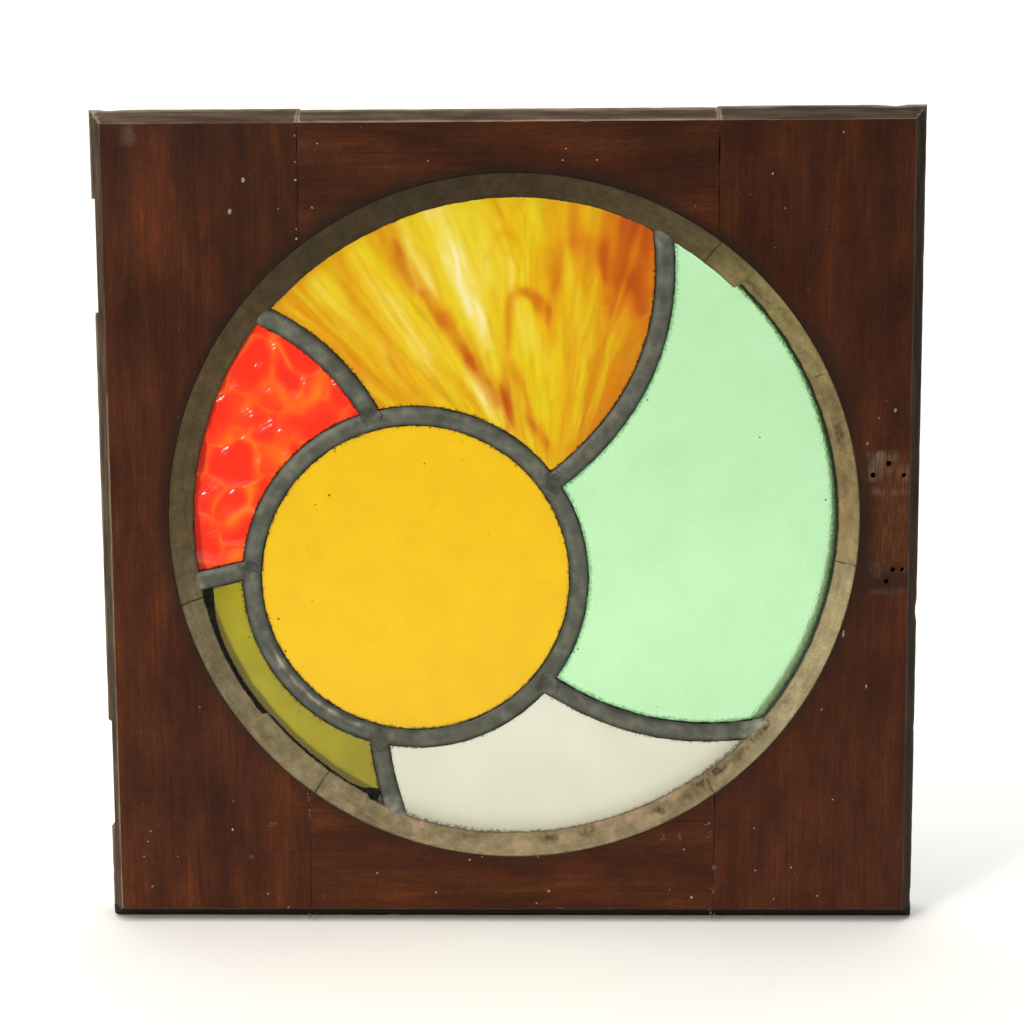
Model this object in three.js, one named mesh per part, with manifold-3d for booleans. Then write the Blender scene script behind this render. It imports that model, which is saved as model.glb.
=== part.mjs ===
// A square hardwood casement sash holding a round leaded light of six coloured panes.
// Millimetres, +Z up. The puttied outer face looks towards -Y. The origin is the centre
// of the flat outer edge of the hinge stile, where the sash is hung.

import * as THREE from 'three';
import { mergeVertices } from 'three/addons/utils/BufferGeometryUtils.js';
import Module from 'manifold-3d';

const wasm = await Module();
wasm.setup();

// ---------------------------------------------------------------- driving dimensions

const GAP = 0.3; // clearance between neighbouring pieces
const OVERSHOOT = 5; // how far a cutter runs past the face that it cuts

const SASH = 520; // outer width and outer height
const THICKNESS = 40;
const HINGE_STILE_WIDTH = 131;
const CATCH_STILE_WIDTH = 128.5;
const RAIL_WIDTH = 128;
const RAIL_SHRINKAGE = 0.8; // the top rail's edge has dropped this far below the stile ends

// The bevel planed round the outer face: its width at the start and the end of each side,
// clockwise from the foot of the hinge stile, and its depth for each millimetre of width.
const BEVEL_WIDTHS = [[8.3, 9.6], [9.3, 9.3], [9, 7.4], [9.3, 9.3]];
const BEVEL_STEEPNESS = 1.55;

// The round opening: a rebate open to the outer face, and a shoulder behind the glass.
const RING_X = 263.3;
const RING_Z = 1.9;
const REBATE_RADIUS = 218.2;
const SIGHT_RADIUS = 204.5;
const BACK_CHAMFER = 3;
const RING_SEGMENTS = 96;

// Hinges, now gone: a gain for each in the edge of the hinge stile, with screw holes.
const GAIN_LENGTH = 71;
const GAIN_SINK = 3;
const GAIN_WIDTH = 30; // measured from the outer face
const GAIN_CENTRES = [169.8, -163.8];
const HINGE_HOLES = [[-5, -25], [3, 0], [-5, 25]]; // y, and z from the gain's centre
const HINGE_HOLE_RADIUS = 2;

// Catch plate, now gone: its screw holes in the outer face of the catch stile.
const CATCH_X = 498.6;
const CATCH_Z = 1.1;
const CATCH_HOLES = [[-9.8, 30], [-9.8, -30], [9.8, 30], [9.8, -30], [0, 37.4], [0, -37.4], [3.9, -29.8]];
const CATCH_HOLE_RADIUS = 1.65;
const HOLE_DEPTH = 14;
const HOLE_SIDES = 8;

// Glass: every pane is cut from sheet of one thickness.
const GLASS_SINK = 12; // from the outer face of the sash to the glass
const GLASS_THICKNESS = 3.5;
const GLASS_RADIUS = 216.5; // the whole disc, held by its edge in the putty

// Lead came: an H of two domed leaves joined by a thin heart.
const CAME_WIDTH = 11.8;
const HEART = 1.5;
const LEAF_EDGE = 0.8;
const LEAF_CROWN = 1.5;
const DOME_STEPS = 4;
const CAME_RADIUS = 214; // how far the branches run out under the putty

// The yellow roundel, and the came round it.
const ROUNDEL_X = 200.3;
const ROUNDEL_Z = -36.1;
const ROUNDEL_CAME_RADIUS = 104.6; // to the middle of the came
const ROUNDEL_SEGMENTS = 72;

// Branch cames, each a shallow curve from the round came (angle there, in degrees from +X)
// to just past the rim of the glass (angle about the ring's centre). A negative bulge
// bends it to the right of its run.
const BRANCH_END_RADIUS = 222;
const BRANCHES = {
  amber_mint: { from: 35.1, to: 65.9, bulge: -31.2, steps: 12 },
  red_amber: { from: 103.8, to: 141.9, bulge: -11.3, steps: 6 },
  red_olive: { from: 176.2, to: 191.2, bulge: 0, steps: 1 },
  olive_white: { from: 256.4, to: 251.9, bulge: -3.6, steps: 4 },
  white_mint: { from: 320.7, to: 324.1, bulge: -19.5, steps: 9 },
};

// Panes round the roundel, each from one branch counter-clockwise to the next.
const PANES = {
  amber: ['amber_mint', 'red_amber'],
  red: ['red_amber', 'red_olive'],
  olive: ['red_olive', 'olive_white'],
  white: ['olive_white', 'white_mint'],
  mint: ['white_mint', 'amber_mint'],
};

// Putty: a sloped fillet before the glass, a rim round it and a thin bed behind it.
const FILLET_FOOT_RADIUS = 204.4;
const FILLET_FOOT_HEIGHT = 0.8;
const FILLET_DRIFT_X = 1; // the fillet's foot was tooled off centre
const FILLET_DRIFT_Z = -1.2;
const PUTTY_RIM = 1.1;
const BED_RADIUS = 206;

const FINISHES = {
  mahogany: { color: 0x46231a, roughness: 0.45, metalness: 0 },
  putty: { color: 0x8a7a5c, roughness: 0.9, metalness: 0 },
  lead: { color: 0x5f625f, roughness: 0.6, metalness: 0.7 },
  amber: { color: 0xd98f1e, roughness: 0.15, metalness: 0 },
  red: { color: 0xf23a1e, roughness: 0.15, metalness: 0 },
  yellow: { color: 0xf2c418, roughness: 0.15, metalness: 0 },
  olive: { color: 0xa59b23, roughness: 0.15, metalness: 0 },
  white: { color: 0xe4e5d1, roughness: 0.15, metalness: 0 },
  mint: { color: 0xc5eec3, roughness: 0.15, metalness: 0 },
};

// ---------------------------------------------------------------- levels through the sash

const OUTER_FACE = -THICKNESS / 2;
const INNER_FACE = THICKNESS / 2;
const GLASS_FRONT = OUTER_FACE + GLASS_SINK;
const GLASS_BACK = GLASS_FRONT + GLASS_THICKNESS;
const GLASS_MIDDLE = (GLASS_FRONT + GLASS_BACK) / 2;
const LEAF_FLOOR = GLASS_THICKNESS / 2 + GAP; // from the middle of the glass to a leaf
const CAME_HALF_DEPTH = LEAF_FLOOR + LEAF_CROWN;
const SHOULDER = GLASS_MIDDLE + CAME_HALF_DEPTH + GAP;

// ---------------------------------------------------------------- solids from geometries

function solid(geometry) {
  geometry.deleteAttribute('normal');
  geometry.deleteAttribute('uv');
  const merged = mergeVertices(geometry, 1e-4);
  const triangles = Uint32Array.from(merged.index.array);
  if (signedVolume(merged.attributes.position, triangles) < 0) {
    triangles.reverse();
  }
  const vertices = Float32Array.from(merged.attributes.position.array);
  const mesh = new wasm.Mesh({ numProp: 3, vertProperties: vertices, triVerts: triangles });
  return new wasm.Manifold(mesh);
}

function signedVolume(position, triangles) {
  const corners = [new THREE.Vector3(), new THREE.Vector3(), new THREE.Vector3()];
  let volume = 0;
  for (let i = 0; i < triangles.length; i += 3) {
    corners.forEach((corner, k) => corner.fromBufferAttribute(position, triangles[i + k]));
    volume += corners[0].dot(corners[1].clone().cross(corners[2])) / 6;
  }
  return volume;
}

function part(name, shape, finish) {
  const mesh = shape.getMesh();
  const geometry = new THREE.BufferGeometry();
  geometry.setAttribute('position', new THREE.BufferAttribute(mesh.vertProperties, 3));
  geometry.setIndex(new THREE.BufferAttribute(mesh.triVerts, 1));
  geometry.computeVertexNormals();
  const part = new THREE.Mesh(geometry, new THREE.MeshStandardMaterial(FINISHES[finish]));
  part.name = name;
  return part;
}

// A box between two corners.
function block(low, high) {
  const size = high.map((value, axis) => value - low[axis]);
  const centre = high.map((value, axis) => (value + low[axis]) / 2);
  return solid(new THREE.BoxGeometry(...size).translate(...centre));
}

// A disc with its axis through the sash, from one level to another.
function disc(x, z, radius, front, back, segments) {
  const geometry = new THREE.CylinderGeometry(radius, radius, back - front, segments);
  return solid(geometry.translate(x, (front + back) / 2, z));
}

// A solid of revolution about an axis through the sash. The profile is [radius, level] pairs.
function turned(profile, x, z, segments) {
  const points = profile.map(([radius, level]) => new THREE.Vector2(radius, level));
  return solid(new THREE.LatheGeometry(points, segments).translate(x, 0, z));
}

// ---------------------------------------------------------------- the wooden sash

// The waste of one planed bevel. It is made for the hinge edge and turned to its own side.
function bevelWaste(side) {
  const [start, end] = BEVEL_WIDTHS[side];
  const middle = (start + end) / 2;
  const reach = OVERSHOOT / BEVEL_STEEPNESS;
  const section = new THREE.Shape([
    new THREE.Vector2(middle + reach, -OVERSHOOT),
    new THREE.Vector2(-reach, middle * BEVEL_STEEPNESS + OVERSHOOT),
    new THREE.Vector2(-2 * middle, -OVERSHOOT),
  ]);
  const length = SASH + 2 * OVERSHOOT;
  const geometry = new THREE.ExtrudeGeometry(section, { depth: length, bevelEnabled: false });
  geometry.translate(0, OUTER_FACE, -length / 2);
  const taper = new THREE.Matrix4().makeShear(0, 0, 0, 0, (end - start) / SASH, 0);
  geometry.applyMatrix4(taper);
  geometry.translate(-SASH / 2, 0, 0);
  geometry.rotateY((side * Math.PI) / 2);
  geometry.translate(SASH / 2, 0, 0);
  return solid(geometry);
}

// Everything that the round opening takes out of the boards.
function openingWaste() {
  const outside = OUTER_FACE - OVERSHOOT;
  const inside = INNER_FACE + OVERSHOOT;
  const profile = [
    [0, outside],
    [REBATE_RADIUS, outside],
    [REBATE_RADIUS, SHOULDER],
    [SIGHT_RADIUS, SHOULDER],
    [SIGHT_RADIUS, INNER_FACE - BACK_CHAMFER],
    [SIGHT_RADIUS + BACK_CHAMFER + OVERSHOOT, inside],
    [0, inside],
  ];
  return turned(profile, RING_X, RING_Z, RING_SEGMENTS);
}

function hingeGainWaste(centre) {
  const low = [-OVERSHOOT, OUTER_FACE - OVERSHOOT, centre - GAIN_LENGTH / 2];
  const high = [GAIN_SINK, OUTER_FACE + GAIN_WIDTH, centre + GAIN_LENGTH / 2];
  return block(low, high);
}

function hingeHole(y, z) {
  const geometry = new THREE.CylinderGeometry(HINGE_HOLE_RADIUS, HINGE_HOLE_RADIUS, HOLE_DEPTH, HOLE_SIDES);
  geometry.rotateZ(Math.PI / 2);
  return solid(geometry.translate(GAIN_SINK - OVERSHOOT + HOLE_DEPTH / 2, y, z));
}

function catchHole(x, z) {
  const mouth = OUTER_FACE - OVERSHOOT;
  return disc(x, z, CATCH_HOLE_RADIUS, mouth, mouth + HOLE_DEPTH, HOLE_SIDES);
}

function cutAll(shape, wastes) {
  return wastes.reduce((rest, waste) => rest.subtract(waste), shape);
}

const frameWaste = [openingWaste(), ...BEVEL_WIDTHS.map((_, side) => bevelWaste(side))];

// A board between two x positions and two heights, with its share of the opening and bevel.
function board(left, right, bottom, top) {
  return cutAll(block([left, OUTER_FACE, bottom], [right, INNER_FACE, top]), frameWaste);
}

function hingeStile() {
  const stile = board(0, HINGE_STILE_WIDTH, -SASH / 2, SASH / 2);
  const gains = GAIN_CENTRES.map(hingeGainWaste);
  const holes = GAIN_CENTRES.flatMap((centre) => HINGE_HOLES.map(([y, z]) => hingeHole(y, centre + z)));
  return cutAll(stile, [...gains, ...holes]);
}

function catchStile() {
  const stile = board(SASH - CATCH_STILE_WIDTH, SASH, -SASH / 2, SASH / 2);
  return cutAll(stile, CATCH_HOLES.map(([x, z]) => catchHole(CATCH_X + x, CATCH_Z + z)));
}

function rail(bottom, top) {
  return board(HINGE_STILE_WIDTH + GAP, SASH - CATCH_STILE_WIDTH - GAP, bottom, top);
}

// ---------------------------------------------------------------- lead cames

// The H section, as [depth from the middle of the glass, place across the came].
function cameSection() {
  const half = CAME_WIDTH / 2;
  const dome = [];
  for (let i = 0; i <= DOME_STEPS; i += 1) {
    const across = half * ((2 * i) / DOME_STEPS - 1);
    const rise = (LEAF_CROWN - LEAF_EDGE) * (1 - (across / half) ** 2);
    dome.push([LEAF_FLOOR + LEAF_EDGE + rise, across]);
  }
  const channel = [[LEAF_FLOOR, half], [LEAF_FLOOR, HEART / 2]];
  const oneLeaf = [...dome, ...channel];
  const otherLeaf = oneLeaf.map(([depth, across]) => [-depth, -across]);
  const innerEdges = [[-LEAF_FLOOR, HEART / 2], [-LEAF_FLOOR, half]];
  const turnedEdges = innerEdges.map(([depth, across]) => [-depth, -across]);
  return [...oneLeaf, ...innerEdges, ...otherLeaf, ...turnedEdges];
}

function onCircle(x, z, radius, degrees) {
  const angle = THREE.MathUtils.degToRad(degrees);
  return new THREE.Vector3(x + radius * Math.cos(angle), GLASS_MIDDLE, z + radius * Math.sin(angle));
}

// The middle line of a branch came, in the plane of the glass.
function branchLine({ from, to, bulge }) {
  const start = onCircle(ROUNDEL_X, ROUNDEL_Z, ROUNDEL_CAME_RADIUS, from);
  const end = onCircle(RING_X, RING_Z, BRANCH_END_RADIUS, to);
  const run = end.clone().sub(start).normalize();
  const left = new THREE.Vector3(-run.z, 0, run.x);
  const middle = start.clone().add(end).multiplyScalar(0.5);
  return new THREE.QuadraticBezierCurve3(start, middle.addScaledVector(left, 2 * bulge), end);
}

// A section of [depth, across] points swept along a branch.
function swept(section, branch) {
  const shape = new THREE.Shape(section.map(([depth, across]) => new THREE.Vector2(depth, across)));
  const options = { steps: branch.steps, extrudePath: branchLine(branch) };
  return solid(new THREE.ExtrudeGeometry(shape, options));
}

// The room that a branch takes up, its clearance included, as a plain strip.
function branchRoom(branch, width, halfDepth) {
  const across = width / 2 + GAP;
  const depth = halfDepth + GAP;
  return swept([[-depth, -across], [depth, -across], [depth, across], [-depth, across]], branch);
}

function roundCame() {
  const section = cameSection();
  const profile = section.map(([depth, across]) => [ROUNDEL_CAME_RADIUS + across, GLASS_MIDDLE + depth]);
  return turned([...profile, profile[0]], ROUNDEL_X, ROUNDEL_Z, ROUNDEL_SEGMENTS);
}

// A branch butts against the round came and ends under the putty.
function branchCame(branch) {
  const clearance = ROUNDEL_CAME_RADIUS + CAME_WIDTH / 2 + GAP;
  const hub = disc(ROUNDEL_X, ROUNDEL_Z, clearance, OUTER_FACE, INNER_FACE, ROUNDEL_SEGMENTS);
  const field = disc(RING_X, RING_Z, CAME_RADIUS, OUTER_FACE, INNER_FACE, RING_SEGMENTS);
  return swept(cameSection(), branch).intersect(field).subtract(hub);
}

// ---------------------------------------------------------------- panes

function roundel() {
  const radius = ROUNDEL_CAME_RADIUS - HEART / 2 - GAP;
  return disc(ROUNDEL_X, ROUNDEL_Z, radius, GLASS_FRONT, GLASS_BACK, ROUNDEL_SEGMENTS);
}

// The wedge of the light between two branches, well past the rim of the glass.
function sector(first, second) {
  const swing = THREE.MathUtils.euclideanModulo(second.to - first.to, 360);
  const turns = Math.ceil(swing / 30);
  const outline = branchLine(first).getPoints(first.steps);
  for (let i = 0; i <= turns; i += 1) {
    outline.push(onCircle(RING_X, RING_Z, 1.3 * BRANCH_END_RADIUS, first.to + (swing * i) / turns));
  }
  outline.push(...branchLine(second).getPoints(second.steps).reverse());
  outline.push(new THREE.Vector3(ROUNDEL_X, GLASS_MIDDLE, ROUNDEL_Z));
  const shape = new THREE.Shape(outline.map((point) => new THREE.Vector2(point.x, point.z)));
  const geometry = new THREE.ExtrudeGeometry(shape, { depth: THICKNESS, bevelEnabled: false });
  geometry.rotateX(Math.PI / 2);
  return solid(geometry.translate(0, THICKNESS / 2, 0));
}

function outerPane(firstName, secondName) {
  const first = BRANCHES[firstName];
  const second = BRANCHES[secondName];
  const hubRadius = ROUNDEL_CAME_RADIUS + HEART / 2 + GAP;
  const wastes = [
    disc(ROUNDEL_X, ROUNDEL_Z, hubRadius, OUTER_FACE, INNER_FACE, ROUNDEL_SEGMENTS),
    branchRoom(first, HEART, GLASS_THICKNESS),
    branchRoom(second, HEART, GLASS_THICKNESS),
  ];
  const sheet = disc(RING_X, RING_Z, GLASS_RADIUS, GLASS_FRONT, GLASS_BACK, RING_SEGMENTS);
  return cutAll(sheet.intersect(sector(first, second)), wastes);
}

// ---------------------------------------------------------------- putty

// The hollow before the sloped face of the fillet: a leaning cone, narrow end at its foot.
function filletHollow(lip) {
  const height = GLASS_FRONT - FILLET_FOOT_HEIGHT - OUTER_FACE;
  const cone = new THREE.CylinderGeometry(FILLET_FOOT_RADIUS, lip, height, RING_SEGMENTS);
  const lean = new THREE.Matrix4().makeShear(0, 0, FILLET_DRIFT_X / height, FILLET_DRIFT_Z / height, 0, 0);
  cone.translate(0, height / 2, 0).applyMatrix4(lean);
  return solid(cone.translate(RING_X, OUTER_FACE, RING_Z));
}

function puttyRing() {
  const outer = REBATE_RADIUS - GAP;
  const back = SHOULDER - GAP;
  const footX = RING_X + FILLET_DRIFT_X;
  const footZ = RING_Z + FILLET_DRIFT_Z;
  const glassRoom = outer - PUTTY_RIM;
  const wastes = [
    filletHollow(outer),
    disc(footX, footZ, FILLET_FOOT_RADIUS, GLASS_FRONT - 2 * FILLET_FOOT_HEIGHT, GLASS_FRONT, RING_SEGMENTS),
    disc(RING_X, RING_Z, glassRoom, GLASS_FRONT - GAP, GLASS_BACK + GAP, RING_SEGMENTS),
    disc(RING_X, RING_Z, BED_RADIUS, GLASS_BACK, INNER_FACE, RING_SEGMENTS),
    ...Object.values(BRANCHES).map((branch) => branchRoom(branch, CAME_WIDTH, CAME_HALF_DEPTH)),
  ];
  return cutAll(disc(RING_X, RING_Z, outer, OUTER_FACE, back, RING_SEGMENTS), wastes);
}

// ---------------------------------------------------------------- assembly

const sash = new THREE.Group();

sash.add(
  part('hinge_stile', hingeStile(), 'mahogany'),
  part('catch_stile', catchStile(), 'mahogany'),
  part('top_rail', rail(SASH / 2 - RAIL_WIDTH, SASH / 2 - RAIL_SHRINKAGE), 'mahogany'),
  part('bottom_rail', rail(-SASH / 2, RAIL_WIDTH - SASH / 2), 'mahogany'),
  part('putty_ring', puttyRing(), 'putty'),
  part('round_came', roundCame(), 'lead'),
);

for (const [name, branch] of Object.entries(BRANCHES)) {
  sash.add(part(`${name}_came`, branchCame(branch), 'lead'));
}

sash.add(part('yellow_roundel', roundel(), 'yellow'));

for (const [colour, [first, second]] of Object.entries(PANES)) {
  sash.add(part(`${colour}_pane`, outerPane(first, second), colour));
}

export default sash;
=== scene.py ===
"""A square hardwood casement sash with a round leaded light of six coloured panes.

Metres, +Z up, the puttied outer face towards -Y. Sections follow the sash as it is put
together: boards, glass, lead, cement, solder, mastic, putty, and the marks of use.
"""

import math
import random

import bmesh
import bpy
from mathutils import Matrix, Quaternion, Vector, kdtree, noise


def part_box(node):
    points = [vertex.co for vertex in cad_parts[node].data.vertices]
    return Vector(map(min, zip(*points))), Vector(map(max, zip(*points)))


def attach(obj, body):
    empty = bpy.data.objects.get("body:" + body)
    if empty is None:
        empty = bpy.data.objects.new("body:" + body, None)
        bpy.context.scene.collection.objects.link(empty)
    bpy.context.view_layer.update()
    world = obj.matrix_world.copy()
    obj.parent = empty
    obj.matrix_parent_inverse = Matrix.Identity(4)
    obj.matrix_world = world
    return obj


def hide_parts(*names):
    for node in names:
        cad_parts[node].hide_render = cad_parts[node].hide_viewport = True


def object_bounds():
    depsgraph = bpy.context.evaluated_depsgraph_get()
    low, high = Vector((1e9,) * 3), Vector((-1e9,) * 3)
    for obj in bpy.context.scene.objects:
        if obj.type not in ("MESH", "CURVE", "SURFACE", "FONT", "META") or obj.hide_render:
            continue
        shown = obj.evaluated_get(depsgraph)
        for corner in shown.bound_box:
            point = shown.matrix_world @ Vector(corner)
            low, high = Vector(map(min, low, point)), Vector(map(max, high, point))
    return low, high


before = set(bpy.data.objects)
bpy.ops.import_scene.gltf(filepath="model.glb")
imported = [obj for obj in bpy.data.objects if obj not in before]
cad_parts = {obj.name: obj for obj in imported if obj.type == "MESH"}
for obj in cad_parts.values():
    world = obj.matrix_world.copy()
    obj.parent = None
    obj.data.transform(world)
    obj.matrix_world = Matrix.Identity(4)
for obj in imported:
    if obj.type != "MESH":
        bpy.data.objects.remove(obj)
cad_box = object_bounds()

# ---------------------------------------------------------------- camera
# A portrait lens stands a good metre before the sash, a hand above its middle and a
# little towards the catch stile, and looks slightly down on the puttied face.

MM = 0.001
sash_low, sash_high = (Vector(corner) for corner in cad_box)
sash_middle = (sash_low + sash_high) / 2

lens_spot = sash_middle + Vector((0.0296, -1.3165, 0.1922))
aim = sash_middle + Vector((0.0026, sash_low.y, 0.0086))
camera = bpy.data.objects.new("portrait_camera", bpy.data.cameras.new("portrait_lens"))
camera.data.lens = 73.1
camera.data.sensor_width = 36
camera.location = lens_spot
camera.rotation_mode = "QUATERNION"
facing = (aim - lens_spot).to_track_quat("-Z", "Y")
camera.rotation_quaternion = facing @ Quaternion((0, 0, 1), math.radians(-0.33))
bpy.context.scene.collection.objects.link(camera)
bpy.context.scene.camera = camera

# ---------------------------------------------------------------- studio
# A pale paper sweep: floor and back wall in one sheet with a wide curve between them.
# Large soft lamps wash it from above, and three smaller ones light the face of the sash.


def linear(hex_colour):
    """An sRGB hex colour as the linear RGBA that a shader socket takes."""
    channels = [int(hex_colour[i : i + 2], 16) / 255 for i in (1, 3, 5)]
    bent = [c / 12.92 if c <= 0.04045 else ((c + 0.055) / 1.055) ** 2.4 for c in channels]
    return (*bent, 1.0)


def points_of(geometry):
    """The points alone of what an operator returns."""
    return [g for g in geometry if isinstance(g, bmesh.types.BMVert)]


def smooth_all(bm):
    """Shades every face smooth."""
    for face in bm.faces:
        face.smooth = True


def new_piece(name, bm, material):
    """A finished bmesh as an object at the origin, with its material."""
    mesh = bpy.data.meshes.new(name)
    bm.to_mesh(mesh)
    bm.free()
    mesh.materials.append(material)
    piece = bpy.data.objects.new(name, mesh)
    bpy.context.scene.collection.objects.link(piece)
    return piece


SWEEP_WIDTH = 9.0
SWEEP_FRONT = -1.1
SWEEP_BACK = 3.0
SWEEP_CURVE = 1.2
SWEEP_HEIGHT = 4.5
CURVE_STEPS = 12

paper = bpy.data.materials.new("matt_background_paper")
paper.use_nodes = True
paper_shader = paper.node_tree.nodes["Principled BSDF"]
paper_shader.inputs["Base Color"].default_value = linear("#f4f4f2")
paper_shader.inputs["Roughness"].default_value = 0.95
paper_shader.inputs["Specular IOR Level"].default_value = 0.0

bm = bmesh.new()
floor_level = sash_low.z
line = [Vector((0, SWEEP_FRONT, floor_level)), Vector((0, SWEEP_BACK - SWEEP_CURVE, floor_level))]
for step in range(1, CURVE_STEPS + 1):
    turn = math.pi / 2 * step / CURVE_STEPS
    rise = SWEEP_CURVE * (1 - math.cos(turn))
    line.append(Vector((0, SWEEP_BACK - SWEEP_CURVE * (1 - math.sin(turn)), floor_level + rise)))
line.append(Vector((0, SWEEP_BACK, floor_level + SWEEP_HEIGHT)))
verts = [bm.verts.new(point - Vector((SWEEP_WIDTH / 2, 0, 0))) for point in line]
edges = [bm.edges.new(pair) for pair in zip(verts, verts[1:])]
out = bmesh.ops.extrude_edge_only(bm, edges=edges)["geom"]
bmesh.ops.translate(bm, verts=points_of(out), vec=(SWEEP_WIDTH, 0, 0))
smooth_all(bm)
bmesh.ops.recalc_face_normals(bm, faces=bm.faces)
paper_sweep = new_piece("paper_sweep", bm, paper)


def soft_lamp(name, place, target, size, watts, colour="#ffffff"):
    """A square soft box at a place, aimed at a target."""
    lamp = bpy.data.lights.new(name, "AREA")
    lamp.size = size
    lamp.energy = watts
    lamp.color = linear(colour)[:3]
    holder = bpy.data.objects.new(name, lamp)
    holder.location = place
    holder.rotation_mode = "QUATERNION"
    holder.rotation_quaternion = (Vector(target) - Vector(place)).to_track_quat("-Z", "Y")
    bpy.context.scene.collection.objects.link(holder)


WARM = "#fff7ec"
soft_lamp("overhead_box", (0.26, 0.25, 2.3), (0.26, 0.25, 0.0), 2.6, 52)
soft_lamp("wall_wash", (0.26, 1.0, 1.9), (0.26, 3.0, 0.6), 1.6, 30)
soft_lamp("key_box", (-1.1, -1.5, 1.7), (0.26, 0.0, 0.0), 1.1, 29, WARM)
soft_lamp("brow_box", (-0.75, -1.6, 0.75), (0.26, 0.0, 0.0), 0.28, 11, WARM)
soft_lamp("fill_box", (1.9, -1.7, 0.3), (0.26, 0.0, -0.1), 1.2, 10, WARM)

world = bpy.data.worlds.new("studio_air")
world.use_nodes = True
world.node_tree.nodes["Background"].inputs["Color"].default_value = linear("#f3f1ec")
world.node_tree.nodes["Background"].inputs["Strength"].default_value = 0.3
bpy.context.scene.world = world
bpy.context.scene.view_settings.view_transform = "Standard"

# ---------------------------------------------------------------- boards
# Two full-height stiles with two rails between them, of one mahogany-like hardwood, planed
# and varnished long ago. The varnish is worn to a satin, the bevel outside it is bare and
# grey, and every arris is rubbed and nicked.

EASING = 0.35 * MM  # the arrises' worn round
NICK_PITCH = 3 * MM  # the arrises are free to wander at this spacing
SCREW_FACET = 2.2 * MM  # edges shorter than this belong to screw holes and stay crisp
RUB = 0.3 * MM
NICK = 2.2 * MM
OUTER_ARRIS = 248 * MM  # arrises further out than this from the middle are painted palest, as rub and painted highlight
FOOT_ROUND = 3 * MM  # the foot of the hinge stile is worn round
FACE_SETBACK = 0.05 * MM  # the face lies this far back, so that paint flecks stand on it
OUTER_FACE = sash_low.y

opening_low, opening_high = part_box("putty_ring")
RING = (opening_low + opening_high) / 2
REBATE_RADIUS = (opening_high.x - opening_low.x) / 2


def add_node(tree, kind, inputs=(), output=0, stops=(), **settings):
    """Adds a node, gives it its settings, ramp stops, values and links, and returns an output."""
    node = tree.nodes.new(kind)
    for name, value in settings.items():
        setattr(node, name, value)
    for socket, value in dict(inputs).items():
        if isinstance(value, bpy.types.NodeSocket):
            tree.links.new(value, node.inputs[socket])
        else:
            node.inputs[socket].default_value = value
    for i, (place, colour) in enumerate(stops):
        ramp = node.color_ramp.elements
        stop = ramp[i] if i < 2 else ramp.new(place)
        stop.position = place
        stop.color = linear(colour) if isinstance(colour, str) else (colour, colour, colour, 1)
    return node.outputs[output]


def new_finish(name):
    """A material with its node tree, its shader and the object's own coordinates."""
    material = bpy.data.materials.new(name)
    material.use_nodes = True
    tree = material.node_tree
    shader = tree.nodes["Principled BSDF"]
    return material, tree, shader, add_node(tree, "ShaderNodeTexCoord", output="Object")


# the sockets by which a Mix node lays one colour over another
FACTOR, UNDER, OVER = 0, 6, 7
COLOUR = 2


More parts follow.
